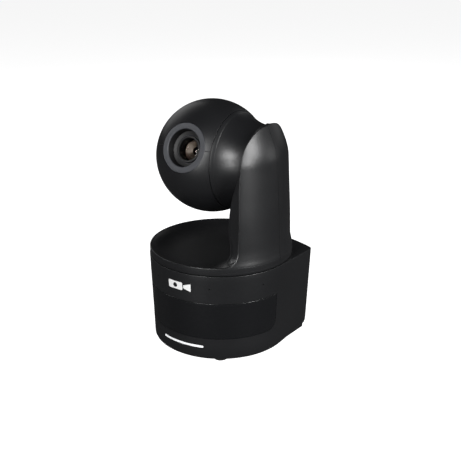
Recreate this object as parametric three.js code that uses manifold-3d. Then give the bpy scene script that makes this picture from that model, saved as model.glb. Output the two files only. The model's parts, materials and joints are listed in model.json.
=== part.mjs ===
// A desktop pan-tilt-zoom camera: a D-shaped base, a turntable with one hollow arm, and a ball head.
// Millimetres, +Z up. The origin is on the ground under the pan axis, -Y is the front, and the arm is at +X.
import * as THREE from "three";
import { mergeVertices } from "three/addons/utils/BufferGeometryUtils.js";
import Module from "manifold-3d";

const wasm = await Module();
wasm.setup();

// General sizes
const gap = 0.3;
const wall = 2.4;
const far = 120;
const fine = 48;
const medium = 20;
const small = 10;

// Base
const baseBottom = 3;
const baseTop = 91.5;
const baseRadius = 72.5;
const baseDraft = 0.0405 / (baseTop - baseBottom);
const sideFlare = THREE.MathUtils.degToRad(3.85);
const rearRadius = 165;
const rearApex = 72.5;
const cornerReach = 5;
const deckThickness = 2.5;
const baseOpening = 60;
const frontWindow = { bottom: 25.5, top: 63, end: -8.3, corner: 9.5, depth: 1.2 };
const light = { half: 23.4, bottom: 14.9, top: 17.2, depth: 1.4 };
const badge = { height: 77.6, half: 13, tall: 8, hood: 4, proud: 0.1, depth: 0.5, lens: 2.4 };
const receiver = { half: 5, front: -65.5, back: -61.5, bottom: 39.5, top: 48.5, room: 3 };
const mic = { height: 78.5, hole: 0.5, radius: 2.2, inner: 64.5, outer: 68, sides: 12 };
const micAngles = [-68, -25, 25, 68];

// Underside and main board
const footPlaces = [[-33, -50.5], [33, -50.5], [-50, 44], [50, 44]];
const footSize = { tread: 6.4, radius: 7, bevel: 0.6, top: 2.7, stem: 2, end: 5.4 };
const postPlaces = [[-50, -22], [50, -22], [-46, 36], [46, 36]];
const post = { radius: 4, ear: 6.5, room: 5, tap: 1.9, tapTop: 16 };
const screw = { head: 3, headTop: 4.2, shank: 1.6, end: 14, sink: 3.4, sinkTop: 4.5 };
const platePlane = 5.5;
const holdPlaces = [[-26, -14], [26, -14], [-29, 46], [29, 46]];
const holdRadius = 3;
const insert = { radius: 5.5, bore: 3.2, depth: 10.5 };
const board = { half: 56, front: -18, back: 49, bottom: 12, top: 13.6 };

// Rear sockets, which stand on the board and come through a panel
const bay = { half: 34, bottom: 10.5, top: 35, face: 65, panel: 1.6 };
const ports = [
  { name: "lan_port", x: -23, width: 16.4, tall: 13.6, hole: [12, 9] },
  { name: "hdmi_port", x: -4.2, width: 15.4, tall: 7.4, hole: [14, 5] },
  { name: "usb_port", x: 13.6, width: 14.4, tall: 8.6, hole: [12.6, 6] },
];
const jack = { name: "power_jack", x: 27.5, width: 9.4, tall: 11, bore: 3.2, pin: 1 };
const portBack = 50;
const mouthBack = 54.3;

// Pan drive
const chassis = { bottom: 75, top: 77.5, radius: 57, shaftHole: 4 };
const panMotorCan = { radius: 16.5, top: 87.3, bore: 2.5, boreTop: 84 };
const panBearing = { radius: 18, bottom: 74, top: 80.5 };
const panPulley = { radius: 28, bottom: 66, top: 71 };
const panPinion = { radius: 7.5, y: 42, shaft: 2.2, end: 83.7 };
const panHubSize = { radius: 12.1, bore: 8, bottom: 62, flange: 21.5, flangeBottom: 84.5 };
const beltThickness = 1.2;
const beltInset = 0.3;

// Turntable and arm
const turnBottom = 92.1;
const turnRadius = 71.8;
const rim = { radius: 72.3, height: 99.7, inner: 70.6, bevel: 0.8 };
const dish = { radius: 58.6, floor: 92.4, under: 88.6, flat: 40 };
const armTop = 228.4;
const armWall = 2.2;
const armRim = { half: 60.5, height: 99.7 };
const armFoot = { half: 48.4, height: 115 };
const armWaist = { half: 45.8, height: 172 };
const armShoulder = { half: 43.9, lift: 40.1 };
const armInner = { x: 36.9, foot: 21.5, width: 15.4, lift: 20, straight: 140 };
const armMouth = { x: 49, bottom: 187, browX: 53.5, browHeight: 226 };
const armTaper = 0.0055;
const armCover = { x: 45, y: -4.6 };
const armRearShift = 6;
const neckPlane = 53.6;

// Head
const headX = -9.75;
const tiltHeight = 188.3;
const headRadius = 55.4;
const headPitch = THREE.MathUtils.degToRad(20.2);
const headWall = 2.2;
const halfGap = gap / 2;
const grooveX = 19;
const neckStart = 21.8;
const neckEnd = 53.2;
const neckRadius = 36.5;
const neckClearance = 0.8;
const shaftPass = 9;

// Lens, with heights along its own axis from the ball's centre
const bezel = { outer: 23.6, face: 50, edge: 18, throat: 17, floor: 41, back: 39.5, hole: 13.2, skirt: 20.5 };
const barrel = { outer: 12.8, inner: 10.4, bottom: 8, top: 42 };
const glass = { radius: 10.1, bottom: 36.4, edge: 37.6, top: 40 };
const zoom = { outer: 10, inner: 4, bottom: 27, top: 31, lens: 3.7, lensBottom: 27.6, lensTop: 30.2 };
const focus = { outer: 10, inner: 5.3, bottom: 13, top: 16, lens: 5, lensBottom: 13.2, lensTop: 15.8 };
const lensEdge = 0.4;
const lensBox = { half: 16, bottom: -14, top: 7.7, bore: 11, boreTop: 5.5, light: 6 };
const sensorPlate = { half: 18, bottom: -16, top: -14.4 };
const sensor = { halfWide: 4.5, halfTall: 3.5, bottom: -14.1, top: -12.6 };
const cradle = { half: 18, back: -22, thickness: 1.6, side: 26.5, front: 20, post: 2, postAt: 14 };

// Tilt drive
const armPlate = { x: 55.9, thickness: 1.2, half: 24, bottom: 95, flange: 45.5 };
const armPlateHoles = { bearing: 12.3, motor: 3 };
const tiltMotorCan = { radius: 13, left: 40.5, bore: 2.4, boreLeft: 46 };
const tiltBearingSize = { radius: 12, left: 53.9, right: 57.9 };
const tiltPulley = { radius: 14, left: 58.3, right: 61.3 };
const tiltPinion = { radius: 6, height: 125, shaft: 2, left: 46.3 };
const shaft = { radius: 8, bore: 5.5, flange: 14, left: 17.1, flangeEnd: 19.1, right: 62.2, hole: 13.5 };

const looks = {
  shell: { color: 0x17181a, roughness: 0.5, metalness: 0 },
  window: { color: 0x0c0d0f, roughness: 0.25, metalness: 0 },
  bezel: { color: 0x3a3c40, roughness: 0.45, metalness: 0 },
  light: { color: 0xf4f6f8, roughness: 0.4, metalness: 0 },
  rubber: { color: 0x141414, roughness: 0.9, metalness: 0 },
  steel: { color: 0x9a9ca0, roughness: 0.35, metalness: 1 },
  brass: { color: 0xb08d48, roughness: 0.35, metalness: 1 },
  board: { color: 0x1d4a2c, roughness: 0.6, metalness: 0 },
  port: { color: 0x8d9094, roughness: 0.4, metalness: 1 },
  black: { color: 0x0e0e10, roughness: 0.6, metalness: 0 },
  glass: { color: 0x2a2018, roughness: 0.05, metalness: 0 },
};

// Solids. A solid here is a manifold, and a geometry becomes one once its shared vertices are merged.
function solid(geometry) {
  const bare = geometry.clone();
  bare.deleteAttribute("normal");
  bare.deleteAttribute("uv");
  const merged = mergeVertices(bare, 1e-4);
  return new wasm.Manifold(
    new wasm.Mesh({
      numProp: 3,
      vertProperties: new Float32Array(merged.attributes.position.array),
      triVerts: new Uint32Array(merged.index.array),
    }),
  );
}

function geometryOf(made) {
  const mesh = made.getMesh();
  const geometry = new THREE.BufferGeometry();
  geometry.setAttribute("position", new THREE.BufferAttribute(mesh.vertProperties, 3));
  geometry.setIndex(new THREE.BufferAttribute(mesh.triVerts, 1));
  geometry.computeVertexNormals();
  return geometry;
}

function allOf(first, ...others) {
  return others.reduce((sum, next) => sum.add(next), first);
}

function without(first, ...others) {
  return others.reduce((rest, next) => rest.subtract(next), first);
}

function block(x0, x1, y0, y1, z0, z1) {
  const geometry = new THREE.BoxGeometry(x1 - x0, y1 - y0, z1 - z0);
  geometry.translate((x0 + x1) / 2, (y0 + y1) / 2, (z0 + z1) / 2);
  return solid(geometry);
}

// A round bar along Z, from bottom to top.
function barGeometry(radius, bottom, top, sides = medium) {
  const geometry = new THREE.CylinderGeometry(radius, radius, top - bottom, sides);
  geometry.rotateX(Math.PI / 2);
  geometry.translate(0, 0, (bottom + top) / 2);
  return geometry;
}

function bar(radius, bottom, top, x = 0, y = 0, sides = medium) {
  return solid(barGeometry(radius, bottom, top, sides).translate(x, y, 0));
}

// The same along X.
function barX(radius, left, right, y, z, sides = medium) {
  const geometry = barGeometry(radius, left, right, sides);
  return solid(geometry.rotateY(Math.PI / 2).translate(0, y, z));
}

// The same along Y.
function barY(radius, front, back, x, z, sides = medium) {
  const geometry = barGeometry(radius, -back, -front, sides);
  return solid(geometry.rotateX(Math.PI / 2).translate(x, 0, z));
}

// A profile of [radius, height] points, turned about Z.
function turnedGeometry(points, sides = fine) {
  const profile = points.map(([r, z]) => new THREE.Vector2(r, z));
  return new THREE.LatheGeometry(profile, sides).rotateX(Math.PI / 2);
}

function turned(points, sides = fine) {
  return solid(turnedGeometry(points, sides));
}

function ring(outer, inner, bottom, top, sides = medium) {
  const profile = [[inner, bottom], [outer, bottom], [outer, top], [inner, top], [inner, bottom]];
  return turned(profile, sides);
}

function prism(shape, bottom, top, curveSegments = 12) {
  const options = { depth: top - bottom, bevelEnabled: false, curveSegments };
  return new THREE.ExtrudeGeometry(shape, options).translate(0, 0, bottom);
}

// A shape drawn in (y, z), pushed along X from left to right.
function prismX(shape, left, right, steps = 1, curveSegments = 8) {
  const options = { depth: right - left, bevelEnabled: false, curveSegments, steps };
  const geometry = new THREE.ExtrudeGeometry(shape, options).translate(0, 0, left);
  const turnToX = new THREE.Matrix4().set(0, 0, 1, 0, 1, 0, 0, 0, 0, 1, 0, 0, 0, 0, 0, 1);
  return geometry.applyMatrix4(turnToX);
}

// A shape drawn in (x, z), pushed along Y both ways.
function prismY(shape, half, curveSegments = 8) {
  const options = { depth: 2 * half, bevelEnabled: false, curveSegments };
  const geometry = new THREE.ExtrudeGeometry(shape, options).translate(0, 0, -half);
  return solid(geometry.rotateX(Math.PI / 2));
}

// Lays a solid made about Z down, so that its Z runs along X.
function alongX(made) {
  return geometryOf(made).rotateY(Math.PI / 2);
}

function curvePoints(curve, count) {
  return curve.getPoints(count).map((p) => [p.x, p.y]);
}

function bezier(a, b, c, d) {
  const ends = [a, b, c, d].map(([x, y]) => new THREE.Vector2(x, y));
  return new THREE.CubicBezierCurve(...ends);
}

function addMesh(name, made, look, parent) {
  const one = new THREE.Mesh(geometryOf(made), new THREE.MeshStandardMaterial(looks[look]));
  one.name = name;
  parent.add(one);
}

// Base shell. In plan it is a half circle at the front, two straight flared sides and a wide arc at the back.
function baseOutline(inset) {
  const radius = baseRadius - inset;
  const backRadius = rearRadius - inset;
  const centre = new THREE.Vector2(0, rearApex - rearRadius);
  const along = new THREE.Vector2(Math.sin(sideFlare), Math.cos(sideFlare));
  const start = new THREE.Vector2(Math.cos(sideFlare), -Math.sin(sideFlare)).multiplyScalar(radius);
  const from = start.clone().sub(centre);
  const dot = from.dot(along);
  const length = -dot + Math.sqrt(dot * dot - from.lengthSq() + backRadius * backRadius);
  const corner = start.clone().addScaledVector(along, length);
  const sideEnd = start.clone().addScaledVector(along, length - cornerReach);
  const turn = Math.atan2(corner.y - centre.y, corner.x) + cornerReach / backRadius;
  const arcStart = new THREE.Vector2(Math.cos(turn), Math.sin(turn)).multiplyScalar(backRadius).add(centre);
  const shape = new THREE.Shape();
  shape.moveTo(start.x, start.y);
  shape.lineTo(sideEnd.x, sideEnd.y);
  shape.quadraticCurveTo(corner.x, corner.y, arcStart.x, arcStart.y);
  shape.absarc(0, centre.y, backRadius, turn, Math.PI - turn, false);
  shape.quadraticCurveTo(-corner.x, corner.y, -sideEnd.x, sideEnd.y);
  shape.lineTo(-start.x, start.y);
  shape.absarc(0, 0, radius, Math.PI + sideFlare, 2 * Math.PI - sideFlare, false);
  return shape;
}

// The walls lean in towards the ground.
function drafted(geometry) {
  const place = geometry.attributes.position;
  for (let i = 0; i < place.count; i += 1) {
    const scale = 1 - baseDraft * (baseTop - place.getZ(i));
    place.setXY(i, place.getX(i) * scale, place.getY(i) * scale);
  }
  return geometry;
}

function baseBlock(inset, bottom, top) {
  return solid(drafted(prism(baseOutline(inset), bottom, top)));
}

function windowBlock(grow) {
  const end = frontWindow.end + grow;
  const bottom = frontWindow.bottom - grow;
  const top = frontWindow.top + grow;
  const corner = frontWindow.corner + grow;
  const shape = new THREE.Shape();
  shape.moveTo(-far, bottom);
  shape.lineTo(end - corner, bottom);
  shape.absarc(end - corner, bottom + corner, corner, -Math.PI / 2, 0, false);
  shape.lineTo(end, top);
  shape.lineTo(-far, top);
  return solid(prismX(shape, -far, far));
}

function lightBlock(grow) {
  const half = light.half + grow;
  return block(-half, half, -far, 0, light.bottom - grow, light.top + grow);
}

// Everything between two insets of the base wall, over its full height.
function wallLayer(outerInset, innerInset) {
  const outside = baseBlock(outerInset, baseBottom, baseTop);
  return outside.subtract(baseBlock(innerInset, baseBottom - 1, baseTop + 1));
}

// Round bars that point outwards at each microphone.
function micBars(radius, from, to) {
  return micAngles.map((angle) => {
    const pin = barGeometry(radius, from, to, mic.sides);
    pin.rotateX(Math.PI / 2).rotateZ(THREE.MathUtils.degToRad(angle));
    return solid(pin.translate(0, 0, mic.height));
  });
}

function baseShell() {
  const body = baseBlock(0, baseBottom, baseTop);
  const hollow = baseBlock(wall, baseBottom - 1, baseTop - deckThickness);
  const mouth = bar(baseOpening, 0, far, 0, 0, fine);
  const pockets = [
    windowBlock(gap).intersect(wallLayer(-1, frontWindow.depth + gap)),
    lightBlock(gap).intersect(wallLayer(-1, light.depth + gap)),
    badgePocket().intersect(wallLayer(-1, badge.depth + gap)),
  ];
  const portBay = block(-bay.half, bay.half, 0, far, bay.bottom, bay.top);
  const receiverHole = receiverBlock(receiver.room, far);
  return without(body, hollow, mouth, ...pockets, receiverHole, portBay, ...micBars(mic.hole, 0, far));
}

// The receiver for a remote control sits behind the window.
function receiverBlock(grow, reach) {
  const half = receiver.half + grow;
  const { front, back, bottom, top } = receiver;
  return block(-half, half, front - reach, back, bottom - grow, top + grow);
}

// A plain pictogram of a camera: a box with a round lens and a hood beside it.
function badgeBlock() {
  const { height, half, hood } = badge;
  const tall = badge.tall / 2;
  const waist = tall / 2.5;
  const shape = new THREE.Shape();
  shape.moveTo(-half, height - tall);
  shape.lineTo(hood, height - tall);
  shape.lineTo(hood, height - waist);
  shape.lineTo(half, height - tall);
  shape.lineTo(half, height + tall);
  shape.lineTo(hood, height + waist);
  shape.lineTo(hood, height + tall);
  shape.lineTo(-half, height + tall);
  return prismY(shape, far).intersect(block(-far, far, -far, 0, 0, far));
}

function badgePocket() {
  const half = badge.half + gap;
  const lift = badge.tall / 2 + gap;
  return block(-half, half, -far, 0, badge.height - lift, badge.height + lift);
}

function badgePlate() {
  const eye = barY(badge.lens, -far, 0, (badge.hood - badge.half) / 2, badge.height);
  return badgeBlock().intersect(wallLayer(-badge.proud, badge.depth)).subtract(eye);
}

function atEach(places, radius, bottom, top) {
  return places.map(([x, y]) => bar(radius, bottom, top, x, y, small));
}

function floorPlate() {
  const plate = baseBlock(wall + gap, baseBottom, platePlane);
  const standoffs = atEach(holdPlaces, holdRadius, baseBottom, board.bottom - gap);
  const stems = atEach(footPlaces, footSize.stem + gap, 0, far);
  const sinks = atEach(postPlaces, screw.sink, 0, screw.sinkTop);
  const shanks = atEach(postPlaces, screw.shank + gap, 0, far);
  const insertHole = bar(insert.radius + gap, 0, far, 0, 0, small);
  return without(allOf(plate, ...standoffs), ...stems, ...sinks, ...shanks, insertHole);
}

function foot(x, y) {
  const { tread, radius, bevel, top, stem, end } = footSize;
  const profile = [[0, 0], [tread, 0], [radius, bevel], [radius, top], [stem, top], [stem, end], [0, end]];
  return turned(profile, small).translate([x, y, 0]);
}

function tripodInsert() {
  const body = bar(insert.radius, baseBottom, board.bottom - gap, 0, 0, small);
  return body.subtract(bar(insert.bore, 0, insert.depth, 0, 0, small));
}

function baseScrew(x, y) {
  const { head: radius, headTop, shank, end } = screw;
  const profile = [
    [0, baseBottom], [radius, baseBottom], [radius, headTop], [shank, headTop], [shank, end], [0, end],
  ];
  return turned(profile, small).translate([x, y, 0]);
}

function mainBoard() {
  const plate = block(-board.half, board.half, board.front, board.back, board.bottom, board.top);
  return without(plate, ...atEach(postPlaces, post.room, 0, far));
}

function portOutline(port, grow, from, to) {
  const half = port.width / 2 + grow;
  const bottom = board.top + gap;
  return block(port.x - half, port.x + half, from, to, bottom - grow, bottom + port.tall + grow);
}

function portMiddle(port) {
  return board.top + gap + port.tall / 2;
}

function portBody(port) {
  const [width, tall] = port.hole;
  const middle = portMiddle(port);
  const left = port.x - width / 2;
  const mouth = block(left, left + width, mouthBack, far, middle - tall / 2, middle + tall / 2);
  return portOutline(port, 0, portBack, bay.face + gap).subtract(mouth);
}

function powerJack() {
  const middle = portMiddle(jack);
  const mouth = barY(jack.bore, mouthBack, far, jack.x, middle);
  const pin = barY(jack.pin, mouthBack - 1, bay.face - 1, jack.x, middle, small);
  return portOutline(jack, 0, portBack, bay.face + gap).subtract(mouth).add(pin);
}

function portPanel() {
  const half = bay.half - gap;
  const bottom = bay.bottom + gap;
  const plate = block(-half, half, bay.face - bay.panel, bay.face, bottom, bay.top - gap);
  const holes = [...ports, jack].map((port) => portOutline(port, gap, 0, far));
  return without(plate, ...holes);
}

function chassisDeck() {
  const { bottom, top, radius, shaftHole } = chassis;
  const deck = bar(radius, bottom, top, 0, 0, fine);
  const posts = atEach(postPlaces, post.radius, platePlane + gap, bottom + 1);
  const ears = atEach(postPlaces, post.ear, bottom, top);
  const taps = atEach(postPlaces, post.tap, 0, post.tapTop);
  const bearingHole = bar(panBearing.radius + gap, 0, far);
  const pinionHole = bar(shaftHole, 0, far, 0, panPinion.y, small);
  return without(allOf(deck, ...posts, ...ears), ...taps, bearingHole, pinionHole);
}

function panMotor() {
  const can = bar(panMotorCan.radius, chassis.top + gap, panMotorCan.top, 0, panPinion.y);
  return can.subtract(bar(panMotorCan.bore, 0, panMotorCan.boreTop, 0, panPinion.y, small));
}

// A pulley on a thin shaft, turned about Z.
function pinion(radius, bottom, top, shaftRadius, end) {
  const profile = [
    [0, bottom], [radius, bottom], [radius, top], [shaftRadius, top], [shaftRadius, end], [0, end],
  ];
  return turned(profile, medium);
}

function panMotorPulley() {
  const made = pinion(panPinion.radius, panPulley.bottom, panPulley.top, panPinion.shaft, panPinion.end);
  return made.translate([0, panPinion.y, 0]);
}

// A belt round two pulleys of radii a and b, the second a distance away along +Y.
function beltOutline(a, b, distance) {
  const lean = Math.asin((a - b) / distance);
  const shape = new THREE.Shape();
  shape.absarc(0, 0, a, Math.PI - lean, 2 * Math.PI + lean, false);
  shape.absarc(0, distance, b, lean, Math.PI - lean, false);
  return shape;
}

function beltBlock(a, b, distance, grow, bottom, top) {
  return solid(prism(beltOutline(a + grow, b + grow, distance), bottom, top, small));
}

function belt(a, b, distance, bottom, top) {
  const outside = beltBlock(a, b, distance, gap + beltThickness, bottom, top);
  return outside.subtract(beltBlock(a, b, distance, gap, bottom - 1, top + 1));
}

function panBelt() {
  const { radius, bottom, top } = panPulley;
  return belt(radius, panPinion.radius, panPinion.y, bottom + beltInset, top - beltInset);
}

// Turntable: a round band with a shallow dish, and the arm's hollow front shell rising from it.
function turntableDisc() {
  const bowl = bezier([rim.inner, rim.height], [66, 95], [58, dish.floor], [dish.flat, dish.floor]);
  const profile = [
    [0, dish.under],
    [dish.radius, dish.under],
    [dish.radius, turnBottom],
    [turnRadius, turnBottom],
    [rim.radius, rim.height - rim.bevel],
    [rim.radius - rim.bevel / 2, rim.height],
    ...curvePoints(bowl, 6),
    [0, dish.floor],
  ];
  return turned(profile);
}

function armProfile(inset, bottom) {
  const crown = bezier([66.9, 193], [66, 205], [60, 216], [54.6, armTop]);
  const side = [[turnRadius, turnBottom], [69.7, 137.5], ...curvePoints(crown, 6)];
  const moved = side.map(([r, z]) => [r - inset, z]);
  const top = armTop - inset;
  const crest = [moved.at(-1)[0], top];
  return [[0, bottom], [moved[0][0], bottom], ...moved.slice(1, -1), crest, [0, top]];
}

// The arm seen along X: it runs out into the rim at its foot and ends in a half oval about the tilt axis.
function armSide(inset, bottom) {
  const reach = armRim.half - armFoot.half;
  const lift = armFoot.height - armRim.height;
  const edge = armRim.half - inset;
  const waist = armWaist.half - inset;
  const shape = new THREE.Shape();
  shape.moveTo(-edge, bottom);
  shape.lineTo(edge, bottom);
  shape.lineTo(edge, armRim.height);
  shape.absellipse(edge, armFoot.height, reach, lift, -Math.PI / 2, -Math.PI, true);
  shape.lineTo(waist, armWaist.height);
  shape.absellipse(0, tiltHeight, armShoulder.half - inset, armShoulder.lift - inset, 0, Math.PI, false);
  shape.lineTo(-waist, armWaist.height);
  shape.absellipse(-edge, armFoot.height, reach, lift, 0, -Math.PI / 2, true);
  return shape;
}

// The arm seen along Y: a fillet out of the dish, a straight inner face, and a shoulder up to the neck.
function armFace(inset) {
  const { x, foot: footX, width, lift, straight } = armInner;
  const shape = new THREE.Shape();
  shape.moveTo(footX + inset, 0);
  shape.lineTo(footX + inset, dish.floor);
  shape.absellipse(footX + inset, dish.floor + lift, width, lift, -Math.PI / 2, 0, false);
  shape.lineTo(x + inset, straight);
  shape.bezierCurveTo(x + 0.5 + inset, 156, 41.5 + inset, 168, armMouth.x + inset, armMouth.bottom);
  shape.quadraticCurveTo(armMouth.x + 0.5 + inset, 212, armMouth.browX + inset, armMouth.browHeight);
  shape.lineTo(armMouth.browX + inset, 2 * far);
  shape.lineTo(far, 2 * far);
  shape.lineTo(far, 0);
  return prismY(shape, far);
}

// Inwards of the neck plane the arm narrows, but only above its foot.
function narrowed(geometry) {
  const place = geometry.attributes.position;
  for (let i = 0; i < place.count; i += 1) {
    const height = THREE.MathUtils.smoothstep(place.getZ(i), armRim.height, armFoot.height);
    const inward = Math.max(0, neckPlane - place.getX(i));
    place.setY(i, place.getY(i) * (1 - armTaper * inward * height));
  }
  return geometry;
}

// The neck goes on with the ball's own curve at first, then bends into a tube.
function neckProfile(grow, left, right) {
  const start = grooveX + halfGap;
  const onBall = Math.sqrt(headRadius ** 2 - (start - headX) ** 2);
  const slope = bezier([neckStart, 45.4], [28.5, 40.8], [39, neckRadius], [50, neckRadius]);
  const side = [[start, onBall], ...curvePoints(slope, 6)].map(([x, r]) => [r + grow, x]);
  return [[0, left], [side[0][0], left], ...side, [neckRadius + grow, right], [0, right]];
}

function neckSpace(grow, right) {
  const geometry = turnedGeometry(neckProfile(grow, grooveX - halfGap, right));
  return solid(geometry.rotateY(Math.PI / 2).translate(0, 0, tiltHeight));
}

function armSolid(inset, bottom) {
  const stepWidth = 19;
  const start = neckPlane - 2 * stepWidth;
  const side = narrowed(prismX(armSide(inset, bottom), start, start + 4 * stepWidth, 4));
  const body = solid(side).intersect(armFace(inset));
  const front = turned(armProfile(inset, bottom)).intersect(block(-far, far, -far, 0.01, 0, 2 * far));
  const rearProfile = armProfile(inset, bottom).map(([r, z]) => [Math.max(0, r - armRearShift), z]);
  const rear = turned(rearProfile).translate([armRearShift, 0, 0]);
  const rearHalf = rear.intersect(block(-far, far, 0, far, 0, 2 * far));
  return body.intersect(front.add(rearHalf));
}

function armShell() {
  const outside = armSolid(0, turnBottom).subtract(neckSpace(neckClearance, neckPlane));
  const inside = armSolid(armWall, turnBottom - 1);
  const hollow = inside.subtract(neckSpace(neckClearance + armWall, neckPlane + armWall));
  const shaftHole = barX(shaft.hole, neckPlane - 5, neckPlane + 5, 0, tiltHeight);
  return without(outside, hollow, shaftHole);
}

// The arm's back comes off as a cover, with a piece of the band below it.
function coverRegion(inset) {
  return block(armCover.x + inset, far, armCover.y + inset, far, 0, 2 * far);
}

function panHub() {
  const { radius, bore, bottom, flange, flangeBottom } = panHubSize;
  const top = dish.under - gap;
  const profile = [
    [bore, bottom], [radius, bottom], [radius, flangeBottom], [flange, flangeBottom], [flange, top],
    [bore, top], [bore, bottom],
  ];
  return turned(profile, medium);
}

// A ring that runs on the hub.
function aroundHub({ radius, bottom, top }) {
  return ring(radius, panHubSize.radius + gap, bottom, top);
}

function armFrame() {
  const { x, thickness, half, bottom, flange } = armPlate;
  const shape = new THREE.Shape();
  shape.moveTo(-half, bottom);
  shape.lineTo(half, bottom);
  shape.lineTo(half, tiltHeight);
  shape.absarc(0, tiltHeight, half, 0, Math.PI, false);
  const plate = solid(prismX(shape, x, x + thickness));
  const ledge = block(flange, x + thickness, -half, half, bottom, bottom + thickness);
  const bearingRoom = barX(armPlateHoles.bearing, 0, far, 0, tiltHeight);
  const motorRoom = barX(armPlateHoles.motor, 0, far, 0, tiltPinion.height, small);
  return without(plate.add(ledge), bearingRoom, motorRoom);
}

function tiltMotor() {
  const can = barX(tiltMotorCan.radius, tiltMotorCan.left, armPlate.x - gap, 0, tiltPinion.height);
  return can.subtract(barX(tiltMotorCan.bore, tiltMotorCan.boreLeft, far, 0, tiltPinion.height, small));
}

function tiltMotorPulley() {
  const { left, right } = tiltPulley;
  const made = pinion(tiltPinion.radius, -right, -left, tiltPinion.shaft, -tiltPinion.left);
  return solid(geometryOf(made).rotateY(-Math.PI / 2).translate(0, 0, tiltPinion.height));
}

function tiltBelt() {
  const { radius, left, right } = tiltPulley;
  const loop = belt(radius, tiltPinion.radius, tiltHeight - tiltPinion.height, left, right);
  const hanging = geometryOf(loop).rotateZ(-Math.PI / 2).rotateY(Math.PI / 2);
  return solid(hanging.translate(0, 0, tiltHeight));
}

function tiltBearing() {
  const made = ring(tiltBearingSize.radius, shaft.radius + gap, tiltBearingSize.left, tiltBearingSize.right);
  return solid(alongX(made).translate(0, 0, tiltHeight));
}

// Head. Its own frame has the tilt axis along X and the lens looking along +Z, with the ball's centre at 0.
function ball(radius, sides) {
  return solid(new THREE.SphereGeometry(radius, sides, sides / 2).rotateZ(Math.PI / 2));
}

function frontShell() {
  const hollow = ball(headRadius, fine).subtract(ball(headRadius - headWall, 32));
  const neckSide = block(grooveX - headX - halfGap, far, -far, far, -far, far);
  const lensHole = bar(bezel.outer + gap, medium, far, 0, 0, fine);
  return without(hollow, neckSide, lensHole);
}

function upperShell() {
  return frontShell().intersect(block(-far, far, halfGap, far, -far, far));
}

function lowerShell() {
  return frontShell().intersect(block(-far, far, -far, -halfGap, -far, far));
}

function neckShell() {
  const outside = turned(neckProfile(0, grooveX + halfGap, neckEnd));
  const inside = turned(neckProfile(-headWall, grooveX - 1, neckEnd - headWall));
  const made = without(outside, inside, bar(shaftPass, 0, far));
  return solid(alongX(made).translate(-headX, 0, 0));
}

function lensBezel() {
  const { outer, face, edge, throat, floor, back, hole, skirt } = bezel;
  const profile = [
    [edge, face], [throat, floor], [hole, floor], [hole, back], [skirt, back],
    [skirt, face - 5], [outer, face - 3], [outer, face], [edge, face],
  ];
  return turned(profile, fine);
}

function frontGlass() {
  const { radius, bottom, edge, top } = glass;
  const face = curvePoints(bezier([radius, edge], [7, 39.4], [3, top], [0, top]), 6);
  return turned([[0, bottom], [radius, bottom], ...face], medium);
}

function lensElement(radius, bottom, top) {
  const middle = (bottom + top) / 2;
  const profile = [[0, bottom], [radius, middle - lensEdge], [radius, middle + lensEdge], [0, top]];
  return turned(profile, medium);
}

function lensBlock() {
  const { half, bottom, top, bore, boreTop, light: lightHole } = lensBox;
  const body = block(-half, half, -half, half, bottom, top);
  return without(body, bar(bore, bottom - 1, boreTop), bar(lightHole, 0, top + 1));
}

function sensorBoard() {
  const { half, bottom, top } = sensorPlate;
  return block(-half, half, -half, half, bottom, top);
}

function imageSensor() {
  const { halfWide, halfTall, bottom, top } = sensor;
  return block(-halfWide, halfWide, -halfTall, halfTall, bottom, top);
}

function headFrame() {
  const { half, back: backPlane, thickness, side: sidePlane, front, post: radius, postAt } = cradle;
  const back = block(-half, sidePlane, -half, half, backPlane, backPlane + thickness);
  const side = block(sidePlane - thickness, sidePlane, -half, half, backPlane, front);
  const corners = [[-postAt, -postAt], [postAt, -postAt], [-postAt, postAt], [postAt, postAt]];
  const posts = atEach(corners, radius, backPlane + 1, sensorPlate.bottom - gap);
  const pass = solid(alongX(bar(shaftPass, 0, far)));
  return allOf(back, side, ...posts).subtract(pass);
}

function tiltShaft() {
  const { radius, bore, flange, left, flangeEnd, right } = shaft;
  const profile = [
    [bore, left], [flange, left], [flange, flangeEnd], [radius, flangeEnd], [radius, right],
    [bore, right], [bore, left],
  ];
  return solid(alongX(turned(profile, medium)).translate(-headX, 0, 0));
}

function tiltPulleyWheel() {
  const made = ring(tiltPulley.radius, shaft.radius + gap, tiltPulley.left, tiltPulley.right);
  return solid(alongX(made).translate(-headX, 0, 0));
}

// Assembly
const camera = new THREE.Group();
const base = new THREE.Group();
const pan = new THREE.Group();
const head = new THREE.Group();
head.position.set(headX, 0, tiltHeight);
head.rotation.x = Math.PI / 2 - headPitch;
camera.add(base, pan);
pan.add(head);

addMesh("base_shell", baseShell(), "shell", base);
addMesh("floor_plate", floorPlate(), "black", base);
addMesh("front_window", windowBlock(0).intersect(wallLayer(0, frontWindow.depth)), "window", base);
addMesh("status_light", lightBlock(0).intersect(wallLayer(0, light.depth)), "light", base);
addMesh("front_badge", badgePlate(), "light", base);
const microphones = micBars(mic.radius, mic.inner, mic.outer);
microphones.forEach((one, i) => addMesh(`microphone_${i + 1}`, one, "steel", base));
footPlaces.forEach(([x, y], i) => addMesh(`foot_${i + 1}`, foot(x, y), "rubber", base));
postPlaces.forEach(([x, y], i) => addMesh(`base_screw_${i + 1}`, baseScrew(x, y), "steel", base));
addMesh("tripod_insert", tripodInsert(), "brass", base);
addMesh("main_board", mainBoard(), "board", base);
addMesh("port_panel", portPanel(), "black", base);
ports.forEach((port) => addMesh(port.name, portBody(port), "port", base));
addMesh(jack.name, powerJack(), "black", base);
addMesh("ir_receiver", receiverBlock(0, 0), "black", base);
addMesh("chassis_deck", chassisDeck(), "steel", base);
addMesh("pan_motor", panMotor(), "steel", base);
addMesh("pan_bearing", aroundHub(panBearing), "steel", base);
addMesh("pan_belt", panBelt(), "rubber", base);
addMesh("pan_motor_pulley", panMotorPulley(), "brass", base);

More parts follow.
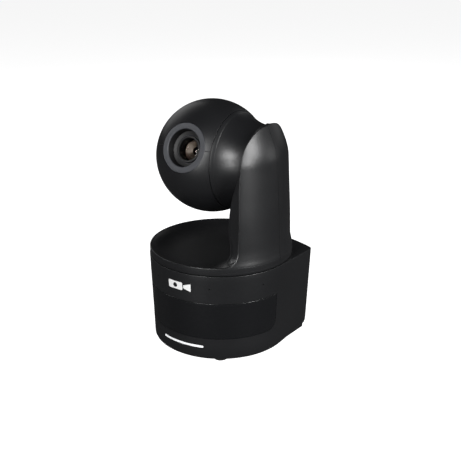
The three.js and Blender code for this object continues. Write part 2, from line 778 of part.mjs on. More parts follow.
const turning = turntableDisc().add(armShell());
addMesh("turntable", turning.subtract(coverRegion(0)), "shell", pan);
addMesh("arm_rear_cover", turning.intersect(coverRegion(gap)), "shell", pan);
addMesh("pan_hub", panHub(), "steel", pan);
addMesh("pan_pulley", aroundHub(panPulley), "black", pan);
addMesh("arm_frame", armFrame(), "steel", pan);
addMesh("tilt_motor", tiltMotor(), "steel", pan);
addMesh("tilt_motor_pulley", tiltMotorPulley(), "brass", pan);
addMesh("tilt_belt", tiltBelt(), "rubber", pan);
addMesh("tilt_bearing", tiltBearing(), "steel", pan);

addMesh("head_upper_shell", upperShell(), "shell", head);
addMesh("head_lower_shell", lowerShell(), "shell", head);
addMesh("head_neck_shell", neckShell(), "shell", head);
addMesh("lens_bezel", lensBezel(), "bezel", head);
addMesh("lens_barrel", ring(barrel.outer, barrel.inner, barrel.bottom, barrel.top, fine), "black", head);
addMesh("front_glass", frontGlass(), "glass", head);
addMesh("zoom_cell", ring(zoom.outer, zoom.inner, zoom.bottom, zoom.top), "black", head);
addMesh("zoom_lens", lensElement(zoom.lens, zoom.lensBottom, zoom.lensTop), "glass", head);
addMesh("focus_cell", ring(focus.outer, focus.inner, focus.bottom, focus.top), "black", head);
addMesh("focus_lens", lensElement(focus.lens, focus.lensBottom, focus.lensTop), "glass", head);
addMesh("lens_block", lensBlock(), "black", head);
addMesh("sensor_board", sensorBoard(), "board", head);
addMesh("image_sensor", imageSensor(), "steel", head);
addMesh("head_frame", headFrame(), "steel", head);
addMesh("tilt_shaft", tiltShaft(), "steel", head);
addMesh("tilt_pulley", tiltPulleyWheel(), "black", head);

export default camera;
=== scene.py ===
import json
import math
import bmesh
import bpy
import numpy as np
from mathutils import Matrix, Vector


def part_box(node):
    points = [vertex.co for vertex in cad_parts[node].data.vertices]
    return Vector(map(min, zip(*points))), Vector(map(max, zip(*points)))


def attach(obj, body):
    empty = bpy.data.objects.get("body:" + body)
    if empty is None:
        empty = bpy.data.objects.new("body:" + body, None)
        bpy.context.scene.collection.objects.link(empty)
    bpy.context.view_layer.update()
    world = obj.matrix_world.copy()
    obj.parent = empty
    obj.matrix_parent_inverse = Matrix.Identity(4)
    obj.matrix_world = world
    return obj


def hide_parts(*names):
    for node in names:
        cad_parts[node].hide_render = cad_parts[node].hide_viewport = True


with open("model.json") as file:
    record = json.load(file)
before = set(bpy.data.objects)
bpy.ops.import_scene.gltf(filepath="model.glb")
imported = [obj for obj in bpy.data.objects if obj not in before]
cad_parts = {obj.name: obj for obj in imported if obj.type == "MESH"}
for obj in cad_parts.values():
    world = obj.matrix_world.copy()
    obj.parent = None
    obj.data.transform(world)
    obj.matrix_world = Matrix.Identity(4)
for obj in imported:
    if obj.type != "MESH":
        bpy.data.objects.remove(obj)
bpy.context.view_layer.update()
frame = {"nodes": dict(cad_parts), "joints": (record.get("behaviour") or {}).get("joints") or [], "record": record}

# Lengths are in millimetres until a mesh is made.
mm = 0.001
joints = {joint["name"]: joint for joint in frame["joints"]}


def low(node):
    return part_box(node)[0] / mm


def high(node):
    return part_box(node)[1] / mm


def addToScene(thing):
    bpy.context.scene.collection.objects.link(thing)


def addPiece(name, points, faces, material, body, nodes=(), smoothBelow=32):
    mesh = bpy.data.meshes.new(name)
    mesh.from_pydata([tuple(p) for p in np.asarray(points, float) * mm], [], [tuple(f) for f in faces])
    mesh.validate()
    piece = bpy.data.objects.new(name, mesh)
    addToScene(piece)
    cleanMesh(piece)
    return dress(piece, material, body, nodes, smoothBelow)


def dress(piece, material, body, nodes=(), smoothBelow=32):
    piece.data.materials.clear()
    piece.data.materials.append(material)
    piece.data.shade_smooth()
    piece.data.set_sharp_from_angle(angle=math.radians(smoothBelow))
    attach(piece, body)
    if nodes:
        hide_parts(*nodes)
    return piece


def cleanMesh(piece):
    work = bmesh.new()
    work.from_mesh(piece.data)
    bmesh.ops.remove_doubles(work, verts=work.verts, dist=0.002 * mm)
    bmesh.ops.recalc_face_normals(work, faces=work.faces)
    work.to_mesh(piece.data)
    work.free()


def solidObject(points, faces, name="tool"):
    mesh = bpy.data.meshes.new(name)
    mesh.from_pydata([tuple(p) for p in np.asarray(points, float) * mm], [], [tuple(f) for f in faces])
    piece = bpy.data.objects.new(name, mesh)
    addToScene(piece)
    cleanMesh(piece)
    return piece


def combine(piece, tool, operation):
    change = piece.modifiers.new("combine", "BOOLEAN")
    change.operation = operation
    change.solver = "MANIFOLD"
    change.object = tool
    bpy.context.view_layer.update()
    ready = piece.evaluated_get(bpy.context.evaluated_depsgraph_get())
    mesh = bpy.data.meshes.new_from_object(ready)
    piece.modifiers.clear()
    old = piece.data
    piece.data = mesh
    bpy.data.meshes.remove(old)
    bpy.data.objects.remove(tool)
    return piece


def cut(piece, shape):
    combine(piece, solidObject(*shape), "DIFFERENCE")


def gridFaces(rows, columns, wrap=False):
    faces = []
    last = columns if wrap else columns - 1
    for r in range(rows - 1):
        for c in range(last):
            a = r * columns + c
            b = r * columns + (c + 1) % columns
            faces.append((a, b, b + columns, a + columns))
    return faces


def loopSolid(loops):
    loops = np.asarray(loops, float)
    rows, columns = loops.shape[:2]
    faces = gridFaces(rows, columns, wrap=True)
    faces.append(tuple(range(columns))[::-1])
    faces.append(tuple((rows - 1) * columns + c for c in range(columns)))
    return loops.reshape(-1, 3), faces


def turn(profile, segments=128):
    profile = np.asarray(profile, float)
    angles = np.linspace(0, 2 * math.pi, segments, endpoint=False)
    ring = np.stack([np.cos(angles), np.sin(angles)], -1)
    points = np.zeros((len(profile), segments, 3))
    points[:, :, :2] = profile[:, None, :1] * ring[None]
    points[:, :, 2] = profile[:, None, 1]
    closed = np.allclose(profile[0], profile[-1])
    faces = gridFaces(len(profile), segments, wrap=True)
    points = points.reshape(-1, 3)
    if closed or (profile[0][0] < 1e-6 and profile[-1][0] < 1e-6):
        return points, faces
    raise ValueError("a turned profile closes on itself or on the axis")


def placed(points, matrix):
    points = np.asarray(points, float)
    return points @ np.array(matrix.to_3x3()).T + np.array(matrix.translation)


def boxSolid(lowCorner, highCorner):
    (x0, y0, z0), (x1, y1, z1) = lowCorner, highCorner
    points = [(x, y, z) for z in (z0, z1) for y in (y0, y1) for x in (x0, x1)]
    faces = [(0, 2, 3, 1), (4, 5, 7, 6), (0, 1, 5, 4), (2, 6, 7, 3), (0, 4, 6, 2), (1, 3, 7, 5)]
    return points, faces


def bezier(a, b, c, d, count):
    t = np.linspace(0, 1, count)[:, None]
    a, b, c, d = (np.asarray(p, float) for p in (a, b, c, d))
    return (1 - t) ** 3 * a + 3 * (1 - t) ** 2 * t * b + 3 * (1 - t) * t * t * c + t ** 3 * d


def corner(before, tip, after, reach, count):
    before, tip, after = (np.asarray(p, float) for p in (before, tip, after))
    start = tip + (before - tip) / np.linalg.norm(before - tip) * reach
    end = tip + (after - tip) / np.linalg.norm(after - tip) * reach
    t = np.linspace(0, 1, count)[:, None]
    return (1 - t) ** 2 * start + 2 * (1 - t) * t * tip + t ** 2 * end


def rounded(points, reach, count=5):
    points = [np.asarray(p, float) for p in points]
    reaches = reach if isinstance(reach, (list, tuple)) else [reach] * len(points)
    made = [points[0][None]]
    for i in range(1, len(points) - 1):
        if reaches[i] <= 0:
            made.append(points[i][None])
        else:
            made.append(corner(points[i - 1], points[i], points[i + 1], reaches[i], count))
    made.append(points[-1][None])
    return np.concatenate(made)


def smoothCurve(points, at):
    points = np.asarray(points, float)
    x, y = points[:, 0], points[:, 1]
    slopes = np.gradient(y, x)
    at = np.clip(at, x[0], x[-1])
    i = np.clip(np.searchsorted(x, at) - 1, 0, len(x) - 2)
    h = x[i + 1] - x[i]
    t = (at - x[i]) / h
    return (
        (2 * t ** 3 - 3 * t ** 2 + 1) * y[i]
        + (t ** 3 - 2 * t ** 2 + t) * h * slopes[i]
        + (3 * t ** 2 - 2 * t ** 3) * y[i + 1]
        + (t ** 3 - t ** 2) * h * slopes[i + 1]
    )


def smoothStep(value, start, end):
    t = np.clip((value - start) / (end - start), 0, 1)
    return t * t * (3 - 2 * t)


print("helpers ready")


def newGroup(name, inputs, outputs):
    group = bpy.data.node_groups.new(name, "ShaderNodeTree")
    for label, value in inputs:
        socket = group.interface.new_socket(name=label, in_out="INPUT", socket_type="NodeSocketFloat")
        socket.default_value = value
    for label in outputs:
        group.interface.new_socket(name=label, in_out="OUTPUT", socket_type="NodeSocketFloat")
    return group, group.nodes.new("NodeGroupInput"), group.nodes.new("NodeGroupOutput")


def addNode(tree, kind, **values):
    node = tree.nodes.new(kind)
    for key, value in values.items():
        setattr(node, key, value)
    return node


def mathNode(tree, operation, a, b):
    node = addNode(tree, "ShaderNodeMath", operation=operation)
    for socket, value in zip(node.inputs, (a, b)):
        if isinstance(value, (int, float)):
            socket.default_value = value
        else:
            tree.links.new(value, socket)
    return node.outputs[0]


def makeMouldGrain():
    group, inside, outside = newGroup(
        "mouldGrain", [("Grain Size", 0.4), ("Smudge Size", 40.0)], ["Height", "Smudge"]
    )
    place = addNode(group, "ShaderNodeTexCoord")
    perMetre = mathNode(group, "DIVIDE", 1 / mm, inside.outputs["Grain Size"])
    grain = addNode(group, "ShaderNodeTexNoise")
    grain.inputs["Detail"].default_value = 2.0
    grain.inputs["Roughness"].default_value = 0.6
    group.links.new(place.outputs["Object"], grain.inputs["Vector"])
    group.links.new(perMetre, grain.inputs["Scale"])
    smudge = addNode(group, "ShaderNodeTexNoise")
    smudge.inputs["Detail"].default_value = 3.0
    smudge.inputs["Distortion"].default_value = 0.4
    group.links.new(place.outputs["Object"], smudge.inputs["Vector"])
    smudgeScale = mathNode(group, "DIVIDE", 1 / mm, inside.outputs["Smudge Size"])
    group.links.new(smudgeScale, smudge.inputs["Scale"])
    group.links.new(grain.outputs["Fac"], outside.inputs["Height"])
    group.links.new(smudge.outputs["Fac"], outside.inputs["Smudge"])
    return group


def makeRestingDust():
    group, inside, outside = newGroup("restingDust", [("Amount", 0.2), ("Patch Size", 12.0)], ["Dust"])
    place = addNode(group, "ShaderNodeTexCoord")
    facing = addNode(group, "ShaderNodeNewGeometry")
    split = addNode(group, "ShaderNodeSeparateXYZ")
    group.links.new(facing.outputs["Normal"], split.inputs["Vector"])
    upward = mathNode(group, "POWER", mathNode(group, "MAXIMUM", split.outputs["Z"], 0.0), 3.0)
    patches = addNode(group, "ShaderNodeTexNoise")
    patches.inputs["Detail"].default_value = 6.0
    patches.inputs["Roughness"].default_value = 0.75
    group.links.new(place.outputs["Object"], patches.inputs["Vector"])
    patchScale = mathNode(group, "DIVIDE", 1 / mm, inside.outputs["Patch Size"])
    group.links.new(patchScale, patches.inputs["Scale"])
    uneven = mathNode(group, "MULTIPLY", upward, patches.outputs["Fac"])
    group.links.new(mathNode(group, "MULTIPLY", uneven, inside.outputs["Amount"]),
                    outside.inputs["Dust"])
    return group


def makeRubbedEdge():
    group, inside, outside = newGroup("rubbedEdge", [("Amount", 0.5), ("Reach", 0.6)], ["Rub"])
    bevel = addNode(group, "ShaderNodeBevel", samples=4)
    group.links.new(mathNode(group, "MULTIPLY", inside.outputs["Reach"], mm), bevel.inputs["Radius"])
    facing = addNode(group, "ShaderNodeNewGeometry")
    lean = addNode(group, "ShaderNodeVectorMath", operation="DOT_PRODUCT")
    group.links.new(bevel.outputs["Normal"], lean.inputs[0])
    group.links.new(facing.outputs["Normal"], lean.inputs[1])
    edge = mathNode(group, "SUBTRACT", 1.0, lean.outputs["Value"])
    place = addNode(group, "ShaderNodeTexCoord")
    worn = addNode(group, "ShaderNodeTexNoise")
    worn.inputs["Scale"].default_value = 260.0
    worn.inputs["Detail"].default_value = 4.0
    group.links.new(place.outputs["Object"], worn.inputs["Vector"])
    uneven = mathNode(group, "MULTIPLY", edge, worn.outputs["Fac"])
    rubbed = mathNode(group, "MULTIPLY", uneven, inside.outputs["Amount"])
    group.links.new(mathNode(group, "MINIMUM", rubbed, 1.0), outside.inputs["Rub"])
    return group


mouldGrain = makeMouldGrain()
restingDust = makeRestingDust()
rubbedEdge = makeRubbedEdge()


def startMaterial(name):
    material = bpy.data.materials.new(name)
    material.use_nodes = True
    tree = material.node_tree
    shader = tree.nodes["Principled BSDF"]
    return material, tree, shader


def mixColours(tree, amount, first, second):
    mix = addNode(tree, "ShaderNodeMix", data_type="RGBA")
    mix.inputs["A"].default_value = (*first, 1)
    mix.inputs["B"].default_value = (*second, 1)
    tree.links.new(amount, mix.inputs["Factor"])
    return mix.outputs["Result"]


def mixOver(tree, amount, under, over):
    mix = addNode(tree, "ShaderNodeMix", data_type="RGBA")
    mix.inputs["B"].default_value = (*over, 1)
    tree.links.new(under, mix.inputs["A"])
    tree.links.new(amount, mix.inputs["Factor"])
    return mix.outputs["Result"]


def surface(name, look):
    material, tree, shader = startMaterial(name)
    grain = addNode(tree, "ShaderNodeGroup", node_tree=mouldGrain)
    grain.inputs["Grain Size"].default_value = look["grain"]
    grain.inputs["Smudge Size"].default_value = look["smudge"]
    colour = np.array(look["colour"])
    darker, lighter = colour * (1 - look["vary"]), colour * (1 + look["vary"])
    varied = mixColours(tree, grain.outputs["Smudge"], darker, lighter)
    if "dust" in look:
        dust = addNode(tree, "ShaderNodeGroup", node_tree=restingDust)
        dust.inputs["Amount"].default_value = look["dust"]
        varied = mixOver(tree, dust.outputs["Dust"], varied, (0.3, 0.29, 0.27))
    if "rub" in look:
        rub = addNode(tree, "ShaderNodeGroup", node_tree=rubbedEdge)
        rub.inputs["Amount"].default_value = look["rub"]
        varied = mixOver(tree, rub.outputs["Rub"], varied, np.minimum(colour * 3 + 0.01, 1))
    tree.links.new(varied, shader.inputs["Base Color"])
    spread = addNode(tree, "ShaderNodeMapRange")
    spread.inputs["From Min"].default_value = 0.3
    spread.inputs["From Max"].default_value = 0.7
    spread.inputs["To Min"].default_value = look["rough"] - look["roughVary"]
    spread.inputs["To Max"].default_value = look["rough"] + look["roughVary"]
    tree.links.new(grain.outputs["Smudge"], spread.inputs["Value"])
    tree.links.new(spread.outputs["Result"], shader.inputs["Roughness"])
    bump = addNode(tree, "ShaderNodeBump")
    bump.inputs["Strength"].default_value = look["bump"]
    bump.inputs["Distance"].default_value = look["grain"] * 0.25 * mm
    tree.links.new(grain.outputs["Height"], bump.inputs["Height"])
    tree.links.new(bump.outputs["Normal"], shader.inputs["Normal"])
    shader.inputs["Metallic"].default_value = look.get("metal", 0.0)
    shader.inputs["Specular IOR Level"].default_value = look.get("shine", 0.5)
    shader.inputs["Coat Weight"].default_value = look.get("coat", 0.0)
    shader.inputs["Coat Roughness"].default_value = 0.1
    return material


commonLook = {"roughVary": 0.04, "vary": 0.05, "grain": 0.3, "bump": 0.2}
looks = {
    "body": {"colour": (0.0076, 0.0079, 0.0088), "rough": 0.355, "roughVary": 0.03, "vary": 0.06,
             "grain": 0.45, "smudge": 45, "bump": 0.3, "shine": 0.55, "dust": 0.008, "rub": 0.25},
    "window": {"colour": (0.0045, 0.0048, 0.0056), "rough": 0.24, "roughVary": 0.03, "grain": 0.6,
               "smudge": 60, "bump": 0.06, "shine": 0.55},
    "bezel": {"colour": (0.042, 0.044, 0.05), "rough": 0.42, "roughVary": 0.03, "vary": 0.04,
              "smudge": 25, "bump": 0.3},
    "inner": {"colour": (0.004, 0.004, 0.0042), "rough": 0.5, "smudge": 20, "bump": 0.3},
    "cell": {"colour": (0.034, 0.029, 0.024), "rough": 0.35, "vary": 0.08, "grain": 0.25, "smudge": 10,
             "shine": 0.6},
    "print": {"colour": (0.82, 0.82, 0.82), "rough": 0.5, "roughVary": 0.03, "vary": 0.02, "grain": 0.25,
              "smudge": 12, "bump": 0.15},
    "rubber": {"colour": (0.016, 0.016, 0.016), "rough": 0.8, "roughVary": 0.06, "vary": 0.1,
               "grain": 0.5, "smudge": 8, "bump": 0.6},
    "steel": {"colour": (0.56, 0.57, 0.58), "rough": 0.34, "roughVary": 0.08, "smudge": 15,
              "metal": 1.0},
    "brass": {"colour": (0.62, 0.45, 0.2), "rough": 0.32, "roughVary": 0.06, "vary": 0.06, "smudge": 8,
              "metal": 1.0},
    "gold": {"colour": (0.8, 0.58, 0.22), "rough": 0.25, "vary": 0.04, "grain": 0.2, "smudge": 5,
             "bump": 0.1, "metal": 1.0},
    "board": {"colour": (0.02, 0.09, 0.04), "rough": 0.45, "roughVary": 0.05, "vary": 0.12, "grain": 0.4,
              "smudge": 6, "bump": 0.3, "coat": 0.3},
    "tin": {"colour": (0.5, 0.51, 0.53), "rough": 0.36, "roughVary": 0.06, "grain": 0.25, "smudge": 9,
            "metal": 1.0},
}
materials = {key: surface(key + "Surface", {**commonLook, **look}) for key, look in looks.items()}


def makeLightGuide():
    material, tree, shader = startMaterial("lightGuide")
    grain = addNode(tree, "ShaderNodeGroup", node_tree=mouldGrain)
    grain.inputs["Grain Size"].default_value = 0.8
    grain.inputs["Smudge Size"].default_value = 9
    shade = mixColours(tree, grain.outputs["Smudge"], (0.86, 0.88, 0.9), (0.95, 0.96, 0.97))
    tree.links.new(shade, shader.inputs["Base Color"])
    tree.links.new(shade, shader.inputs["Emission Color"])
    shader.inputs["Emission Strength"].default_value = 0.12
    shader.inputs["Roughness"].default_value = 0.4
    return material


def makeGlass(name, tint, rough, bending):
    material, tree, shader = startMaterial(name)
    shader.inputs["Base Color"].default_value = (*tint, 1)
    shader.inputs["Roughness"].default_value = rough
    shader.inputs["Transmission Weight"].default_value = 1.0
    shader.inputs["IOR"].default_value = bending
    return material


materials["light"] = makeLightGuide()
materials["glass"] = makeGlass("frontGlass", (0.9, 0.82, 0.76), 0.03, 1.16)
materials["innerGlass"] = makeGlass("innerGlass", (0.3, 0.17, 0.1), 0.06, 1.3)
print("materials ready")

wallLean = 0.0405
baseForm = {
    "bottom": low("base_shell").z,
    "top": high("base_shell").z,
    "radius": -low("base_shell").y,
    "flare": math.radians(3.85),
    "backRadius": 165.0,
    "backApex": high("base_shell").y,
    "cornerReach": 5.0,
    "mouth": 60.0,
    "topEdge": 0.4,
    "frontFoot": 1.6,
    "backFoot": 9.0,
    "wall": 2.4,
}


def wallScale(z):
    form = baseForm
    return 1 - wallLean * (form["top"] - z) / (form["top"] - form["bottom"])


def baseOutline(inset=0.0):
    form = baseForm
    radius, back = form["radius"] - inset, form["backRadius"] - inset
    flare = form["flare"]
    centre = np.array([0, form["backApex"] - form["backRadius"]])
    along = np.array([math.sin(flare), math.cos(flare)])
    start = np.array([math.cos(flare), -math.sin(flare)]) * radius
    off = start - centre
    dot = off @ along
    length = -dot + math.sqrt(dot * dot - off @ off + back * back)
    tip = start + along * length
    sideEnd = tip - along * form["cornerReach"]
    turnAt = math.atan2(tip[1] - centre[1], tip[0]) + form["cornerReach"] / back
    arcStart = centre + back * np.array([math.cos(turnAt), math.sin(turnAt)])
    t = np.linspace(0, 1, 15)[:, None]
    cornerRun = (1 - t) ** 2 * sideEnd + 2 * (1 - t) * t * tip + t * t * arcStart
    sideRun = start + (sideEnd - start) * np.linspace(0, 1, 20)[:-1, None]
    backAngles = np.linspace(turnAt, math.pi / 2, 31)[1:-1]
    backRun = centre + back * np.stack([np.cos(backAngles), np.sin(backAngles)], -1)
    frontAngles = np.linspace(-math.pi / 2, -flare, 85)[:-1]
    frontRun = radius * np.stack([np.cos(frontAngles), np.sin(frontAngles)], -1)
    right = np.concatenate([frontRun, sideRun, cornerRun, backRun])
    apex = centre + np.array([0, back])
    left = right[:0:-1] * np.array([-1, 1])
    return np.concatenate([right, apex[None], left])


def outwardNormals(loop):
    along = np.roll(loop, -1, 0) - np.roll(loop, 1, 0)
    normal = np.stack([along[:, 1], -along[:, 0]], -1)
    return normal / np.linalg.norm(normal, axis=1)[:, None]


def onWall(angle, z, out=0.0):
    radius = baseForm["radius"] * wallScale(z) + out
    return np.stack([radius * np.sin(angle), -radius * np.cos(angle), z + 0 * angle], -1)


def wallSlab(rows, outer, inner, columns=97):
    spread = np.linspace(-1, 1, columns)
    shells = []
    for depth in (outer, inner):
        shell = []
        for z, leftAngle, rightAngle in rows:
            angle = (leftAngle + rightAngle) / 2 + (rightAngle - leftAngle) / 2 * spread
            shell.append(onWall(angle, z, depth))
        shells.append(np.array(shell))
    return slabFromGrids(shells[0], shells[1])


def slabFromGrids(outer, inner):
    rows, columns = outer.shape[:2]
    points = np.concatenate([outer.reshape(-1, 3), inner.reshape(-1, 3)])
    half = rows * columns
    faces = gridFaces(rows, columns)
    faces += [tuple(half + i for i in face[::-1]) for face in faces]
    border = list(range(columns))
    border += [r * columns + columns - 1 for r in range(1, rows)]
    border += [(rows - 1) * columns + c for c in range(columns - 2, -1, -1)]
    border += [r * columns for r in range(rows - 2, 0, -1)]
    for a, b in zip(border, border[1:] + border[:1]):
        faces.append((a, half + a, half + b, b))
    return points, faces


windowForm = {
    "bottom": low("front_window").z,
    "top": high("front_window").z,
    "end": high("front_window").y,
    "corner": 9.5,
    "gap": 0.3,
    "depth": 1.5,
    "edge": 0.25,
}


def windowRows(grow):
    form = windowForm
    bottom, top = form["bottom"] - grow, form["top"] + grow
    radius = form["corner"] + grow
    turnAngles = np.linspace(0, math.pi / 2, 17)
    heights = list(bottom + radius * (1 - np.cos(turnAngles))) + list(np.linspace(bottom + radius, top,
            14)[1:])
    rows = []
    for z in heights:
        drop = max(0.0, bottom + radius - z)
        shy = radius - math.sqrt(max(0.0, radius * radius - drop * drop))
        reach = form["end"] + grow - shy
        angle = math.acos(min(1.0, -reach / (baseForm["radius"] * wallScale(z))))
        rows.append((z, -angle, angle))
    return rows


def easedPatch(rows, lift, edge, depth, columns=129):
    rows = np.array(rows)
    zs = rows[:, 0]
    bottom, top = zs.min(), zs.max()
    inset = np.array([0, 0.12, 0.3, 0.6, 1.0]) * edge
    extra = np.concatenate([bottom + inset[1:], top - inset[1:]])
    allZ = np.unique(np.round(np.concatenate([zs, extra]), 4))
    left = np.interp(allZ, zs, rows[:, 1])
    right = np.interp(allZ, zs, rows[:, 2])
    outer, inner = [], []
    for z, a, b in zip(allZ, left, right):
        radius = baseForm["radius"] * wallScale(z)
        side = inset / radius
        middle = np.linspace(a + side[-1] * 1.5, b - side[-1] * 1.5, columns)
        angle = np.concatenate([a + side, middle, (b - side)[::-1]])
        fromSide = np.minimum(angle - a, b - angle) * radius
        fromEdge = np.minimum(np.minimum(z - bottom, top - z), fromSide)
        ease = np.clip(1 - fromEdge / edge, 0, 1)
        fall = edge * (1 - np.sqrt(np.clip(1 - ease ** 2, 0, 1)))
        outer.append(onWall(angle, z, 0) + radial(angle) * (lift - fall)[:, None])
        inner.append(onWall(angle, z, 0) + radial(angle) * (-depth))
    return slabFromGrids(np.array(outer), np.array(inner))


def radial(angle):
    return np.stack([np.sin(angle), -np.cos(angle), 0 * angle], -1)


lightForm = {
    "bottom": low("status_light").z,
    "top": high("status_light").z,
    "half": math.asin(high("status_light").x / (baseForm["radius"] * wallScale(16))),
    "gap": 0.12,
}


def lightRows(grow):
    form = lightForm
    bottom, top = form["bottom"] - grow, form["top"] + grow
    radius = (top - bottom) / 2
    rows = []
    for turnAngle in np.linspace(-math.pi / 2, math.pi / 2, 13):
        z = (bottom + top) / 2 + radius * math.sin(turnAngle)
        shy = radius * (1 - math.cos(turnAngle)) / baseForm["radius"]
        rows.append((z, -form["half"] - grow / 70 + shy, form["half"] + grow / 70 - shy))
    return rows


def buildBaseShell():
    form = baseForm
    outline = baseOutline()
    normals = outwardNormals(outline)
    backness = smoothStep(outline[:, 1], -5, 48)
    foot = form["frontFoot"] + (form["backFoot"] - form["frontFoot"]) * backness
    loops = []

    def addLoop(inset, z):
        scale = wallScale(np.mean(z))
        flat = outline * scale - normals * np.reshape(inset, (-1, 1)) * np.ones((len(outline), 1))
        heights = np.broadcast_to(z, (len(outline),))
        loops.append(np.concatenate([flat, heights[:, None]], 1))

    ceiling = form["bottom"] + 3.2
    addLoop(form["wall"] + 30, ceiling)
    addLoop(form["wall"], ceiling)
    addLoop(form["wall"], form["bottom"])
    for share in np.linspace(0, 1, 9):
        angle = share * math.pi / 2
        addLoop(foot * (1 - math.sin(angle)), form["bottom"] + foot * (1 - math.cos(angle)))
    for z in np.linspace(form["bottom"] + form["backFoot"] + 3, form["top"] - form["topEdge"], 14):
        addLoop(0, z)
    for angle in np.linspace(0, math.pi / 2, 7)[1:]:
        edge = form["topEdge"]
        addLoop(edge * (1 - math.cos(angle)), form["top"] - edge * (1 - math.sin(angle)))
    mouth = outline / np.linalg.norm(outline, axis=1)[:, None] * form["mouth"]
    rim = loops[-1][:, :2]
    for share in (0.35, 0.7, 1.0):
        flat = rim + (mouth - rim) * share
        loops.append(np.concatenate([flat, np.full((len(flat), 1), form["top"])], 1))
    loops.append(np.concatenate([mouth, np.full((len(mouth), 1), form["top"] - 5)], 1))
    points, faces = loopSolid(loops)
    shell = solidObject(points, faces, "baseShell")
    cutWindow = wallSlab(windowRows(windowForm["gap"]), 3, -windowForm["depth"])
    cut(shell, cutWindow)
    cut(shell, wallSlab(lightRows(lightForm["gap"]), 2, -1.4, 49))
    for node in [n for n in frame["nodes"] if n.startswith("microphone_")]:
        middle = (low(node) + high(node)) / 2
        angle = math.atan2(middle.x, -middle.y)
        hole, sides = turn([(0, form["radius"] - 4), (0.7, form["radius"] - 4), (0.7, 90), (0, 90)], 24)
        aim = Matrix.Translation((0, 0, middle.z)) @ Matrix.Rotation(angle, 4,
                "Z") @ Matrix.Rotation(math.pi / 2, 4, "X")
        cut(shell, (placed(hole, aim), sides))
    bayLow, bayHigh = low("port_panel"), high("port_panel")
    recess = boxSolid((bayLow.x - 0.3, bayLow.y - 12, bayLow.z - 0.3),
                      (bayHigh.x + 0.3, 90, bayHigh.z + 0.3))
    cut(shell, recess)
    return dress(shell, materials["body"], "base", ["base_shell"])


def buildFrontWindow():
    form = windowForm
    points, faces = easedPatch(windowRows(0), -0.05, form["edge"], 1.2)
    return addPiece("frontWindow", points, faces, materials["window"], "base",
                    ["front_window"])


def buildStatusLight():
    points, faces = wallSlab(lightRows(0), 0.05, -1.2, 49)
    return addPiece("statusLight", points, faces, materials["light"], "base",
                    ["status_light"])


badgeForm = {"proud": 0.1, "depth": 0.35, "column": 1.0, "lens": 2.4}


def buildBadge():
    lowest, highest = low("front_badge"), high("front_badge")
    middle = (lowest.z + highest.z) / 2
    half, tall = highest.x, (highest.z - lowest.z) / 2
    waist, hood = tall / 2.5, 4.0
    outline = [(-half, -tall), (hood, -tall), (hood, tall), (-half, tall)]
    curve = bpy.data.curves.new("badge", "CURVE")
    curve.dimensions = "2D"
    curve.fill_mode = "BOTH"
    curve.extrude = 0.5
    for path in (
        roundedLoop(outline, 1.6),
        roundedLoop([(hood + 1.0, -waist), (half, -tall), (half, tall), (hood + 1.0, waist)], 0.6),
        circleLoop((hood - half) / 2, 0, badgeForm["lens"]),
    ):
        spline = curve.splines.new("POLY")
        spline.points.add(len(path) - 1)
        for point, (x, y) in zip(spline.points, path):
            point.co = (x, y, 0, 1)
        spline.use_cyclic_u = True
    holder = bpy.data.objects.new("badge", curve)
    addToScene(holder)
    bpy.context.view_layer.update()
    mesh = bpy.data.meshes.new_from_object(holder.evaluated_get(bpy.context.evaluated_depsgraph_get()))
    bpy.data.objects.remove(holder)
    work = bmesh.new()
    work.from_mesh(mesh)
    bmesh.ops.remove_doubles(work, verts=work.verts, dist=1e-4)
    for x in np.arange(-half + badgeForm["column"], half, badgeForm["column"]):
        everything = work.verts[:] + work.edges[:] + work.faces[:]
        bmesh.ops.bisect_plane(work, geom=everything, plane_co=(x, 0, 0), plane_no=(1, 0, 0))
    for vertex in work.verts:
        x, y, side = vertex.co
        z = middle + y
        angle = np.array([x / (baseForm["radius"] * wallScale(z))])
        out = badgeForm["proud"] if side > 0 else -badgeForm["depth"]
        vertex.co = onWall(angle, z, out)[0] * mm
    bmesh.ops.recalc_face_normals(work, faces=work.faces)
    work.to_mesh(mesh)
    work.free()
    badge = bpy.data.objects.new("frontBadge", mesh)
    addToScene(badge)
    return dress(badge, materials["print"], "base", ["front_badge"])


def roundedLoop(points, reach, count=6):
    made = []
    for i, tip in enumerate(points):
        made.append(corner(points[i - 1], tip, points[(i + 1) % len(points)], reach, count))
    return np.concatenate(made)


def circleLoop(x, y, radius, count=40):
    angles = np.linspace(0, 2 * math.pi, count, endpoint=False)
    return np.stack([x + radius * np.cos(angles), y + radius * np.sin(angles)], -1)


buildBaseShell()
buildFrontWindow()
buildStatusLight()
buildBadge()
print("base ready")

